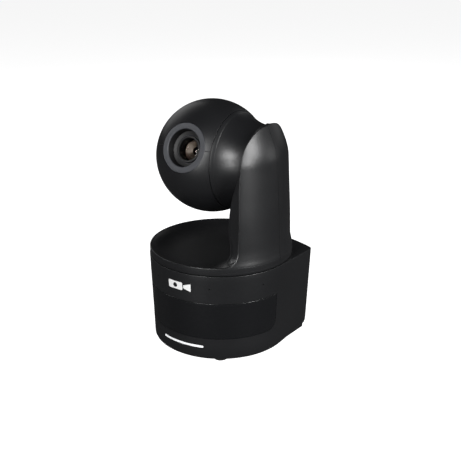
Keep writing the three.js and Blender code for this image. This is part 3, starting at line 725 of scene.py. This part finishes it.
tiltHeight = joints["tilt"]["pos_m"][2] / mm
headX = joints["tilt"]["pos_m"][0] / mm
headRadius = high("head_upper_shell").z - tiltHeight
discForm = {
    "bottom": 92.1,
    "under": low("turntable").z,
    "rim": 99.7,
    "lip": 1.2,
    "well": 58.6,
    "floor": 92.4,
    "flat": 40.0,
    "edge": 0.5,
}
wallCurve = [(92.1, 71.9), (96, 72.1), (99.7, 72.05), (104, 71.35), (110, 70.7), (124, 70.15),
             (137.5, 69.7),
             (165, 68.3), (193, 66.9)]
crown = bezier((66.9, 193), (66, 205), (60, 216), (54.6, 228.4), 40)
armForm = {
    "rimHalf": 60.0,
    "footTop": 115.0,
    "sides": [(115, 47.8), (130, 47.1), (146, 46.35), (172, 45.2), (181, 44.5), (188.3, 43.7)],
    "dome": [(0, 43.7), (15, 43.3), (30, 42.6), (42, 41.5), (55, 40.5), (70, 39.8), (90, 39.2)],
    "inner": 36.9,
    "innerFoot": 21.5,
    "mouth": 187.0,
    "neckPlane": 53.6,
    "taper": 0.0055,
    "rearShift": 6.0,
    "frontEdge": (0.9, 2.2),    # above the foot, at the rim
    "rearEdge": 9.0,
    "innerEdge": (2.5, 26.0),
    "splitX": 45.0,
    "splitY": -4.6,
    "seam": 0.3,
    "leastDepth": 0.8,
}
shoulderCurve = np.concatenate([
    bezier((36.9, 140), (37.4, 156), (41.5, 168), (49, 187), 40),
    bezier((49, 187), (49.2, 200), (49.5, 210), (51.4, 223), 20)[1:],
])


def wallRadius(z):
    z = np.asarray(z, float)
    lower = smoothCurve(wallCurve, z)
    upper = np.interp(z, crown[:, 1], crown[:, 0])
    return np.where(z > 193, upper, lower)


def dishHeight(radius):
    form = discForm
    slope = bezier(
        (wallRadius(form["rim"]) - form["lip"], form["rim"]), (66, 95), (58, form["floor"]),
        (form["flat"], form["floor"]), 30
    )[::-1]
    return np.interp(radius, slope[:, 0], slope[:, 1])


def discProfile():
    form = discForm
    outer = [(wallRadius(z), z) for z in np.linspace(form["bottom"] + 0.6, form["rim"] - 0.6, 9)]
    rimRadius = wallRadius(form["rim"])
    top = rounded(
        [outer[-1], (rimRadius, form["rim"]), (rimRadius - form["lip"], form["rim"]),
         (rimRadius - form["lip"] - 2, dishHeight(rimRadius - form["lip"] - 2))],
        [0, 0.55, 0.5, 0], 6,
    )
    radii = np.concatenate([np.linspace(rimRadius - form["lip"] - 2.6, form["flat"], 16), [20, 0]])
    bowl = [(r, dishHeight(r)) for r in radii]
    bottomEdge = rounded(
        [(form["well"], form["bottom"]), (wallRadius(form["bottom"]), form["bottom"]), outer[1]],
        [0, 0.3, 0], 5
    )[:-1]
    start = [(0, form["under"]), (form["well"], form["under"]), (form["well"], form["bottom"])]
    return np.concatenate([start, bottomEdge[1:], outer[1:-1], top, bowl])


def armHalf(z):
    form = armForm
    if z <= tiltHeight:
        return float(smoothCurve(form["sides"], z))
    angles, reach = np.array(form["dome"]).T
    angles = np.radians(angles)
    heights = reach * np.sin(angles)
    halves = reach * np.cos(angles)
    top = heights[-1]
    share = np.clip((z - tiltHeight) / top, 0, 1)
    lean = np.interp(share, heights / top,
                     halves / np.maximum(np.cos(np.arcsin(heights / top)), 1e-3) / halves[0])
    return float(halves[0] * math.sqrt(1 - share * share) * min(lean, 1.05))


def armLevels():
    form = armForm
    lift = form["footTop"] - discForm["rim"]
    foot = armHalf(form["footTop"])
    levels = []
    for angle in np.linspace(0, math.pi / 2, 19):
        flare = 1 - math.sin(angle)
        levels.append((
            form["footTop"] - lift * math.cos(angle),
            foot + (form["rimHalf"] - foot) * flare,
            form["inner"] - (form["inner"] - form["innerFoot"]) * flare,
        ))
    for z in np.linspace(form["footTop"], tiltHeight, 34)[1:]:
        levels.append((z, armHalf(z), innerFace(z)))
    for angle in np.linspace(0, math.pi / 2, 33)[1:]:
        z = tiltHeight + form["dome"][-1][1] * math.sin(angle)
        levels.append((z, max(armHalf(z), 0.4), innerFace(z)))
    return levels


def innerFace(z):
    if z < shoulderCurve[0, 1]:
        return armForm["inner"]
    return float(np.interp(z, shoulderCurve[:, 1], shoulderCurve[:, 0]))


def bend(start, tip, after, reach, count):
    end = tip + (after - tip) / max(np.linalg.norm(after - tip), 1e-6) * reach
    t = np.linspace(0, 1, count)[1:, None]
    return (1 - t) ** 2 * start + 2 * (1 - t) * t * tip + t * t * end


def straight(start, end, count):
    return start + (end - start) * np.linspace(0, 1, count)[1:, None]


def towards(tip, other, reach):
    return tip + (other - tip) / max(np.linalg.norm(other - tip), 1e-6) * reach


def keepDepth(half, radius, inner):
    least = inner + armForm["leastDepth"]
    return min(half, math.sqrt(max(radius * radius - least * least, 0.16)))


def armSection(z, half, inner):
    form = armForm
    radius = float(wallRadius(z))
    shift = form["rearShift"] * float(smoothStep(z, 101, 116))
    atFoot = 1 - float(smoothStep(z, 103, 130))
    rear = radius - shift
    frontHalf, rearHalf = keepDepth(half, radius, inner), keepDepth(half, rear, inner - shift)
    frontAngle = -math.asin(frontHalf / radius)
    rearAngle = math.asin(rearHalf / rear)
    frontTip = np.array([radius * math.cos(frontAngle), -frontHalf])
    rearTip = np.array([shift + rear * math.cos(rearAngle), rearHalf])
    frontDepth, rearDepth = frontTip[0] - inner, rearTip[0] - inner
    narrow = 1 - form["taper"] * frontDepth * (1 - atFoot)
    frontIn, rearIn = np.array([inner, -frontHalf * narrow]), np.array([inner, rearHalf * narrow])
    frontReach = min(form["frontEdge"][0] + (form["frontEdge"][1] - form["frontEdge"][0]) * atFoot,
                     0.3 * frontDepth)
    rearReach = min(form["rearEdge"] * float(smoothStep(z, 100, 122)) + form["frontEdge"][0],
                    0.5 * rearDepth)
    innerReach = form["innerEdge"][0] + (form["innerEdge"][1] - form["innerEdge"][0]) * atFoot
    alongFace = min(innerReach, 0.4 * half)
    frontArc = np.linspace(frontAngle + frontReach / radius, 0, 29)
    rearArc = np.linspace(0, rearAngle - rearReach / rear, 29)[1:]
    outerFront = radius * np.stack([np.cos(frontArc), np.sin(frontArc)], -1)
    outerRear = np.array([shift, 0]) + rear * np.stack([np.cos(rearArc), np.sin(rearArc)], -1)
    rearBend = bend(outerRear[-1], rearTip, rearIn, rearReach, 12)
    rearInStart = towards(rearIn, rearTip, min(innerReach, 0.48 * rearDepth))
    rearSide = straight(rearBend[-1], rearInStart, 6)
    rearInBend = bend(rearInStart, rearIn, frontIn, alongFace, 12)
    frontInStart = towards(frontIn, rearIn, alongFace)
    innerRun = straight(rearInBend[-1], frontInStart, 16)
    frontInBend = bend(frontInStart, frontIn, frontTip, min(innerReach, 0.66 * frontDepth), 12)
    frontStart = towards(frontTip, frontIn, frontReach)
    frontSide = straight(frontInBend[-1], frontStart, 6)
    frontBend = bend(frontStart, frontTip, outerFront[0], np.linalg.norm(outerFront[0] - frontTip),
                     8)[:-1]
    runs = [outerFront, outerRear, rearBend, rearSide, rearInBend, innerRun, frontInBend, frontSide,
            frontBend]
    loop = np.concatenate(runs)
    return np.concatenate([loop, np.full((len(loop), 1), z)], 1)


def armSolid():
    loops = [armSection(*level) for level in armLevels()]
    sunk = []
    for loop in loops:
        radius = np.hypot(loop[:, 0], loop[:, 1])
        drop = discForm["rim"] - dishHeight(radius)
        fade = 1 - smoothStep(loop[:, 2], discForm["rim"], armForm["footTop"] + 10)
        loop = loop.copy()
        loop[:, 2] -= drop * fade + 0.03
        sunk.append(loop)
    root = sunk[0].copy()
    radius = np.hypot(root[:, 0], root[:, 1])
    proud = radius > wallRadius(discForm["rim"]) - 0.3
    root[:, 2] -= np.where(proud, 5.4, 3.0)
    grown = wallRadius(root[:, 2]) + 0.02
    root[proud, :2] *= (grown / radius)[proud][:, None]
    return loopSolid([root, *sunk])


def neckRadius(x):
    slope = bezier((21.8, 45.4), (28.5, 40.8), (39, 36.5), (50, 36.5), 60)
    onBall = np.sqrt(np.maximum(headRadius ** 2 - (np.minimum(x, 21.8) - headX) ** 2, 0))
    return np.where(np.asarray(x) < 21.8, onBall - 0.05, np.interp(x, slope[:, 0], slope[:, 1]))


toAxisX = Matrix.Translation((0, 0, tiltHeight)) @ Matrix.Rotation(math.pi / 2, 4, "Y")


def neckSpace():
    xs = np.concatenate([np.linspace(16, 50, 25), [armForm["neckPlane"]]])
    side = [(float(neckRadius(x)) + 0.8, x) for x in xs]
    points, faces = turn([(0, xs[0]), *side, (0, xs[-1])], 128)
    return solidObject(placed(points, toAxisX), faces)


def buildTurntable():
    form = armForm
    body = solidObject(*turn(discProfile(), 240), "turntable")
    combine(body, solidObject(*armSolid()), "UNION")
    combine(body, neckSpace(), "DIFFERENCE")
    shaftHole, sides = turn([(0, 40), (13.5, 40), (13.5, 56), (0, 56)], 64)
    cut(body, (placed(shaftHole, toAxisX), sides))
    cover = bpy.data.objects.new("armRearCover", body.data.copy())
    addToScene(cover)
    region = boxSolid((form["splitX"], form["splitY"], 80), (100, 100, 260))
    smaller = boxSolid((form["splitX"] + form["seam"], form["splitY"] + form["seam"], 80),
                       (100, 100, 260))
    cut(body, region)
    combine(cover, solidObject(*smaller), "INTERSECT")
    dress(body, materials["body"], "pan_body", ["turntable"])
    dress(cover, materials["body"], "pan_body", ["arm_rear_cover"])


buildTurntable()
print("turntable and arm ready")

lensAxis = Vector(joints["zoom"]["axis"])
headPitch = math.atan2(lensAxis.z, -lensAxis.y)
headFrame = Matrix.Translation((headX, 0, tiltHeight)) @ Matrix.Rotation(math.pi / 2 - headPitch, 4, "X")
headForm = {
    "wall": 2.2,
    "groove": high("head_upper_shell").x,
    "neckStart": low("head_neck_shell").x,
    "neckEnd": high("head_neck_shell").x,
    "edge": 0.2,
    "split": 0.1,
    "line": 22.4,
    "opening": 23.9,
    "facet": 50.0,
}


def edgeFall(distance, edge):
    ease = np.clip(1 - distance / edge, 0, 1)
    return edge * (1 - np.sqrt(np.clip(1 - ease ** 2, 0, 1)))


def buildHalfShell(name, node, side):
    form = headForm
    radius, edge = headRadius, form["edge"]
    lastX = form["groove"] - headX
    steps = np.array([0, 0.12, 0.3, 0.6, 1.0]) * edge
    poleAngle = math.acos(lastX / radius)
    lat = np.concatenate([np.linspace(math.pi - 0.002, poleAngle + 3 * edge / radius, 90),
                          poleAngle + steps[::-1] / radius])
    lon = np.concatenate([steps / radius,
                          np.linspace(3 * edge / radius, math.pi - 3 * edge / radius, 110),
                          math.pi - steps[::-1] / radius])
    latGrid, lonGrid = np.meshgrid(lat, lon, indexing="ij")
    axisDistance = radius * np.sin(latGrid)
    fromSplit = np.minimum(lonGrid, math.pi - lonGrid) * axisDistance
    fromGroove = (latGrid - poleAngle) * radius
    fall = edgeFall(np.minimum(fromSplit + (axisDistance < 2) * 5, fromGroove), edge)

    def shellAt(r):
        x = r * np.cos(latGrid)
        y = r * np.sin(latGrid) * np.sin(lonGrid)
        z = r * np.sin(latGrid) * np.cos(lonGrid)
        y = np.maximum(y, 0) + form["split"]
        return np.stack([x, y * side, z], -1)

    points, faces = slabFromGrids(shellAt(radius - fall), shellAt(radius - form["wall"] + 0 * fall))
    shell = solidObject(placed(points, headFrame), faces, name)
    hole, sides = turn([(0, 20), (form["opening"], 20), (form["opening"], 80), (0, 80)], 160)
    cut(shell, (placed(hole, headFrame), sides))
    return dress(shell, materials["body"], "head", [node])


def buildNeck():
    form = headForm
    edge = form["edge"]
    start, end = form["neckStart"], form["neckEnd"]
    xs = np.concatenate([start + np.array([0, 0.12, 0.3, 0.6, 1.0]) * edge,
                         np.linspace(start + 1, end - 0.8, 40)])
    line = form["line"] + np.array([-0.2, -0.1, 0.1, 0.2])
    xs = np.sort(np.concatenate([xs, line]))
    inLine = np.interp(xs, line, [0, 0.12, 0.12, 0])
    side = [(float(neckRadius(x) - edgeFall(x - start, edge)) - dip, x) for x, dip in zip(xs, inLine)]
    inner = [(float(neckRadius(x)) - form["wall"], x) for x in np.linspace(end - form["wall"], start,
            12)]
    endBend = rounded([side[-1], (float(neckRadius(end)), end), (9, end)], [0, 0.6, 0], 5)[1:]
    profile = [*side, *endBend, (9, end - form["wall"]), *inner, side[0]]
    points, faces = turn(profile, 200)
    addPiece("headNeck", placed(points, toAxisX), faces, materials["body"], "head",
             ["head_neck_shell"])


bezelForm = {
    "outer": 23.6,
    "inner": 18.0,
    "throat": 17.0,
    "floor": 41.0,
    "floorHole": 13.2,
}


def lensPiece(name, profile, material, body, nodes=(), segments=144):
    points, faces = turn(profile, segments)
    return addPiece(name, placed(points, headFrame), faces, materials[material], body, nodes)


def buildBezel():
    form, face = bezelForm, headForm["facet"]
    front = rounded(
        [(form["outer"], face - 4), (form["outer"], face), (form["inner"], face),
         (form["throat"], form["floor"]),
         (form["floorHole"], form["floor"]), (form["floorHole"], form["floor"] - 1.5)],
        [0, 0.5, 0.7, 0.8, 0.3, 0], 6,
    )
    back = [(20.5, form["floor"] - 1.5), (20.5, face - 5)]
    profile = [*front, *back, front[0]]
    lensPiece("lensBezel", profile, "bezel", "head", ["lens_bezel"])
    # A near-black skin about 0.06 mm thick is laid just inside the throat and floor of the ring, so the throat
    # reads much darker than the ring face.
    throat = [(form["inner"] - 0.15, face - 0.9), (form["throat"] - 0.12, form["floor"] + 0.9),
              (form["floorHole"] + 0.5, form["floor"] + 0.08)]
    throatSkin = [*throat, *[(r - 0.06, z + 0.06) for r, z in throat[::-1]], throat[0]]
    lensPiece("bezelThroatSkin", throatSkin, "inner", "head")


lensForm = {
    "bore": 10.4,
    "barrel": 12.8,
    "back": 8.0,
    "front": 42.4,
    "glass": 10.1,
    "zoomBack": 27.0,
    "zoomFront": 31.0,
    "zoomSteps": 6,
}


def buildLens():
    form = lensForm
    bore, wide, back, front, glass = form["bore"], form["barrel"], form["back"], form["front"], form["glass"]
    rear, fore = form["zoomBack"], form["zoomFront"]
    barrel = rounded(
        [(bore, back), (wide, back), (wide, front), (bore + 0.5, front), (bore, front - 1.6),
         (bore, back)],
        [0, 0.3, 0.45, 0.3, 0.3, 0], 5,
    )
    lensPiece("lensBarrel", barrel, "inner", "head", ["lens_barrel"])
    dome = bezier((glass, 37.2), (7, 39.2), (3, 39.8), (0, 39.8), 14)
    lensPiece("frontGlass", [(0, 36.4), (glass, 36.4), *dome], "glass", "head",
              ["front_glass"])
    steps = [(9.6 - 0.9 * i - (0.3 if side else 0),
              fore - 0.4 * i - 0.1 * side) for i in range(form["zoomSteps"]) for side in (0, 1)]
    cone = [(10, fore), *steps, (3.9, 28.7), (3.9, rear), (10, rear), (10, fore)]
    lensPiece("zoomCell", cone, "cell", "zoom_group", ["zoom_cell"])
    zoomGlass = bezier((3.7, 28.9), (2.6, 29.9), (1.2, 30.1), (0, 30.1), 8)
    lensPiece("zoomLens", [(0, 27.6), (3.7, 27.9), *zoomGlass], "innerGlass", "zoom_group",
              ["zoom_lens"])


buildHalfShell("headUpper", "head_upper_shell", 1)
buildHalfShell("headLower", "head_lower_shell", -1)
buildNeck()
buildBezel()
buildLens()
print("head ready")

underForm = {
    "footTop": 2.7,
    "ring": 4.2,
    "plug": 1.9,
    "screwHead": 3.0,
    "screwRidge": 1.58,
    "screwRoot": 1.25,
    "screwPitch": 0.7,
    "crossWide": 0.75,
    "crossLong": 3.6,
    "crossDeep": 0.9,
    "bore": 3.2,
    "boreTop": 10.5,
    "pitch": 1.27,
    "threadDepth": 0.42,
}
socketForm = {
    "wallEdge": 1.1,
    "panelEdge": 0.4,
    "tongue": 1.1,
    "depth": 10.6,
    "jackDepth": 10.8,
    "jackBore": 3.2,
    "jackMouth": 3.9,
    "pin": 1.0,
    "sleeve": 2.9,
}


def boxMiddle(node):
    return (low(node) + high(node)) / 2


def buildFoot(node):
    form, middle, bottom = underForm, boxMiddle(node), low(node).z
    radius = (high(node).x - low(node).x) / 2
    ring = form["ring"]
    profile = rounded(
        [(0, bottom + 0.35), (ring - 1, bottom + 0.35), (ring - 0.7, bottom), (radius, bottom),
         (radius, form["footTop"]), (form["plug"], form["footTop"]), (form["plug"], high(node).z),
         (0, high(node).z)],
        [0, 0.15, 0.15, 0.7, 0.3, 0, 0.3, 0], 5,
    )
    points, faces = turn(profile, 72)
    points[:, :2] += (middle.x, middle.y)
    name = node.replace("foot_", "rubberFoot")
    addPiece(name, points, faces, materials["rubber"], "base", [node])


def buildScrew(node):
    form, middle, bottom, top = underForm, boxMiddle(node), low(node).z, high(node).z
    wide = form["screwHead"]
    head = rounded(
        [(0, bottom + 0.02), (wide - 0.4, bottom + 0.02), (wide, bottom + 0.5), (wide, bottom + 1.2),
         (1.6, bottom + 1.2)],
        [0, 0.4, 0.2, 0.1, 0], 4,
    )
    turns = np.arange(bottom + 1.6, top - 1.2, form["screwPitch"] / 2)
    thread = [(form["screwRidge"] if i % 2 else form["screwRoot"], z) for i, z in enumerate(turns)]
    points, faces = turn([*head, *thread, (0.5, top - 0.1), (0, top)], 48)
    points[:, :2] += (middle.x, middle.y)
    screw = solidObject(points, faces, node.replace("base_screw_", "baseScrew"))
    for wide, long in ((form["crossWide"], form["crossLong"]), (form["crossLong"], form["crossWide"])):
        slot = boxSolid((middle.x - wide / 2, middle.y - long / 2, bottom - 1),
                        (middle.x + wide / 2, middle.y + long / 2, bottom + form["crossDeep"]))
        cut(screw, slot)
    dress(screw, materials["steel"], "base", [node])


def buildTripodInsert():
    form, bottom, top = underForm, low("tripod_insert").z, high("tripod_insert").z
    radius = (high("tripod_insert").x - low("tripod_insert").x) / 2
    bore, ceiling = form["bore"], form["boreTop"]
    ridges = np.arange(bottom + 0.8, ceiling - 0.6, form["pitch"] / 2)
    thread = [(bore if i % 2 else bore - form["threadDepth"], z) for i, z in enumerate(ridges)]
    profile = [(bore + 0.5, bottom), *thread, (bore - 0.2, ceiling), (0, ceiling), (0, top),
               (radius - 0.3, top),
               (radius, top - 0.3), (radius, bottom + 0.3), (radius - 0.3, bottom), (bore + 0.5, bottom)]
    points, faces = turn(profile, 96)
    addPiece("tripodInsert", points, faces, materials["brass"], "base", ["tripod_insert"])


def roundedBox(lowCorner, highCorner, reach, edge):
    (x0, y0, z0), (x1, y1, z1) = lowCorner, highCorner
    outline = roundedLoop([(x0, z0), (x1, z0), (x1, z1), (x0, z1)], reach, 5)
    middle = np.array([(x0 + x1) / 2, (z0 + z1) / 2])
    half = np.array([(x1 - x0) / 2, (z1 - z0) / 2])
    loops = []
    for inset, y in ((edge, y0), (0.3 * edge, y0 + 0.3 * edge), (0, y0 + edge), (0, y1 - edge),
                     (0.3 * edge, y1 - 0.3 * edge), (edge, y1)):
        flat = middle + (outline - middle) * (1 - inset / half)
        loops.append(np.stack([flat[:, 0], np.full(len(flat), y), flat[:, 1]], 1))
    return loopSolid(loops)


def buildSocket(node, hole, tongue, contacts):
    form, lowest, highest, middle = socketForm, low(node), high(node), boxMiddle(node)
    wide, tall = hole
    back = highest.y - form["depth"]
    body = solidObject(*roundedBox(lowest, highest, form["wallEdge"], 0.25),
                       node.replace("_port", "Socket"))
    mouth = roundedBox((middle.x - wide / 2, back, middle.z - tall / 2),
                       (middle.x + wide / 2, 90, middle.z + tall / 2), 0.8, 0.1)
    cut(body, mouth)
    dress(body, materials["tin"], "base", [node])
    if tongue == 0:
        return
    tongueTop, tongueHalf = middle.z + tongue, wide / 2 - 1.6
    bottomOf = tongueTop - form["tongue"]
    name = node.replace("_port", "")
    points, faces = roundedBox((middle.x - tongueHalf, back - 0.3, bottomOf),
                               (middle.x + tongueHalf, highest.y - 1.6, tongueTop), 0.3, 0.15)
    addPiece(name + "Tongue", points, faces, materials["inner"], "base")
    step = 2 * (tongueHalf - 0.6) / (contacts - 1)
    for i in range(contacts):
        x = middle.x - tongueHalf + 0.6 + i * step
        points, faces = roundedBox((x - step * 0.28, back + 0.5, bottomOf - 0.12),
                                   (x + step * 0.28, highest.y - 2.2, bottomOf + 0.1), 0.1, 0.05)
        addPiece(name + "Contact" + str(i + 1), points, faces, materials["gold"], "base")


def buildPowerJack():
    form = socketForm
    bore, mouth, pinWide, cupWide = form["jackBore"], form["jackMouth"], form["pin"], form["sleeve"]
    lowest, highest, middle = low("power_jack"), high("power_jack"), boxMiddle("power_jack")
    back = highest.y - form["jackDepth"]
    aim = Matrix.Translation((middle.x, 0, middle.z)) @ Matrix.Rotation(-math.pi / 2, 4, "X")
    jack = solidObject(*roundedBox(lowest, highest, 1.2, 0.3), "powerJack")
    hole = [(0, back), (bore, back), (bore, highest.y - 0.5), (mouth, highest.y + 0.2), (mouth, 90),
            (0, 90)]
    points, faces = turn(hole, 72)
    cut(jack, (placed(points, aim), faces))
    dress(jack, materials["inner"], "base", ["power_jack"])
    pin = rounded([(0, back - 0.6), (pinWide, back - 0.6), (pinWide, highest.y - 1.3),
                   (0.55, highest.y - 1.3), (0.4, highest.y - 4), (0, highest.y - 4)],
                  [0, 0, 0.3, 0.2, 0, 0], 4)
    points, faces = turn(pin, 40)
    addPiece("jackPin", placed(points, aim), faces, materials["tin"], "base")
    cupOut = cupWide + 0.22
    cup = [(cupWide, back + 0.3), (cupOut, back + 0.3), (cupOut, highest.y - 3),
           (cupWide, highest.y - 3),
           (cupWide, back + 0.3)]
    points, faces = turn(cup, 60)
    addPiece("jackSleeve", placed(points, aim), faces, materials["tin"], "base")


def buildPortPanel():
    form, lowest, highest = socketForm, low("port_panel"), high("port_panel")
    panel = solidObject(*roundedBox(lowest, highest, 1.5, form["panelEdge"]), "portPanel")
    for node in ("lan_port", "hdmi_port", "usb_port", "power_jack"):
        hole = roundedBox(low(node) - Vector((0.25, 0, 0.25)), high(node) + Vector((0.25, 9, 0.25)), 1.1,
                          0.1)
        cut(panel, hole)
    dress(panel, materials["body"], "base", ["port_panel"])


for number in range(1, 5):
    buildFoot("foot_" + str(number))
    buildScrew("base_screw_" + str(number))
buildTripodInsert()
buildSocket("lan_port", (12, 9), 3.2, 8)
buildSocket("hdmi_port", (14, 5), 0.9, 9)
buildSocket("usb_port", (12.6, 6), 1.6, 4)
buildPowerJack()
buildPortPanel()
print("underside and sockets ready")

# The CAD nodes get these materials too.
slotLooks = {
    "body_plastic": "body",
    "window_plastic": "window",
    "bezel_plastic": "bezel",
    "light_plastic": "light",
    "print_white": "print",
    "rubber": "rubber",
    "steel": "steel",
    "brass": "brass",
    "board": "board",
    "port_metal": "tin",
    "black_plastic": "inner",
    "lens_glass": "innerGlass",
}
for part in frame["record"]["subparts"]:
    node = frame["nodes"][part["node"]]
    node.data.materials.clear()
    node.data.materials.append(materials[slotLooks[part["material_slot"]]])

# The paper looks pale, but hardly lights the underside of the part.
stageForm = {"floorSize": 14.0, "pale": (0.9, 0.9, 0.9), "bounce": (0.06, 0.06, 0.06), "glow": 0.9,
             "backdrop": (0.97, 0.97, 0.97), "surround": (0.016, 0.016, 0.017)}


def seenColour(tree, seen, bounced):
    ray = addNode(tree, "ShaderNodeLightPath")
    return mixColours(tree, ray.outputs["Is Camera Ray"], bounced, seen)


def buildStage():
    form, size = stageForm, stageForm["floorSize"]
    mesh = bpy.data.meshes.new("floor")
    mesh.from_pydata([(-size, -size, 0), (size, -size, 0), (size, size, 0), (-size, size, 0)], [],
                     [(0, 1, 2, 3)])
    floor = bpy.data.objects.new("floor", mesh)
    addToScene(floor)
    material, tree, shader = startMaterial("floorPaper")
    tree.links.new(seenColour(tree, form["pale"], form["bounce"]), shader.inputs["Base Color"])
    tree.links.new(seenColour(tree, (1, 1, 1), (0, 0, 0)), shader.inputs["Emission Color"])
    shader.inputs["Emission Strength"].default_value = form["glow"]
    shader.inputs["Roughness"].default_value = 0.9
    mesh.materials.append(material)
    world = bpy.data.worlds.new("studio")
    bpy.context.scene.world = world
    world.use_nodes = True
    background = world.node_tree.nodes["Background"]
    backdrop = seenColour(world.node_tree, form["backdrop"], form["surround"])
    world.node_tree.links.new(backdrop, background.inputs["Color"])
    background.inputs["Strength"].default_value = 1.0


cameraForm = {
    "azimuth": math.radians(33.45),
    "elevation": math.radians(20.09),
    "distance": 0.7703,
    "target": Vector((0.0079, 0.0052, 0.1115)),
    "lens": 59.47,
}
lampDistance = 1.6
softboxes = [
    {"name": "left", "azimuth": -58, "elevation": 23, "size": 0.5, "power": 3.8},
    {"name": "front", "azimuth": 2, "elevation": 5, "size": 0.4, "power": 7.0},
    {"name": "key", "azimuth": 7, "elevation": 25, "size": 0.38, "power": 14.0},
    {"name": "frontHigh", "azimuth": 23, "elevation": 40, "size": 0.5, "power": 1.2},
    {"name": "right", "azimuth": 76, "elevation": 10, "size": 0.4, "power": 10.0},
    {"name": "rightHigh", "azimuth": 89, "elevation": 27, "size": 0.55, "power": 17.0},
    {"name": "rearRight", "azimuth": 125, "elevation": 10, "size": 0.4, "power": 1.4},
    {"name": "rearFill", "azimuth": 168, "elevation": 22, "size": 1.0, "distance": 1.8, "power": 1.6},
    {"name": "rearLeft", "azimuth": -118, "elevation": 24, "size": 1.0, "distance": 1.8, "power": 2.2},
]


def direction(azimuth, elevation):
    return Vector((
        math.sin(azimuth) * math.cos(elevation), -math.cos(azimuth) * math.cos(elevation),
        math.sin(elevation)
    ))


def addSoftbox(box):
    lamp = bpy.data.lights.new(box["name"], "AREA")
    lamp.shape = "RECTANGLE"
    lamp.size = box["size"]
    lamp.size_y = box["size"]
    lamp.energy = box["power"]
    holder = bpy.data.objects.new(box["name"], lamp)
    addToScene(holder)
    toLamp = direction(math.radians(box["azimuth"]), math.radians(box["elevation"]))
    holder.location = cameraForm["target"] + toLamp * box.get("distance", lampDistance)
    holder.rotation_euler = toLamp.to_track_quat("Z", "Y").to_euler()


def addCamera():
    form = cameraForm
    lens = bpy.data.cameras.new("camera")
    lens.lens = form["lens"]
    lens.sensor_width = 36
    holder = bpy.data.objects.new("camera", lens)
    addToScene(holder)
    back = direction(form["azimuth"], form["elevation"])
    holder.location = form["target"] + back * form["distance"]
    holder.rotation_euler = back.to_track_quat("Z", "Y").to_euler()
    bpy.context.scene.camera = holder


buildStage()
for box in softboxes:
    addSoftbox(box)
addCamera()
bpy.context.scene.view_settings.view_transform = "Standard"
print("stage ready")
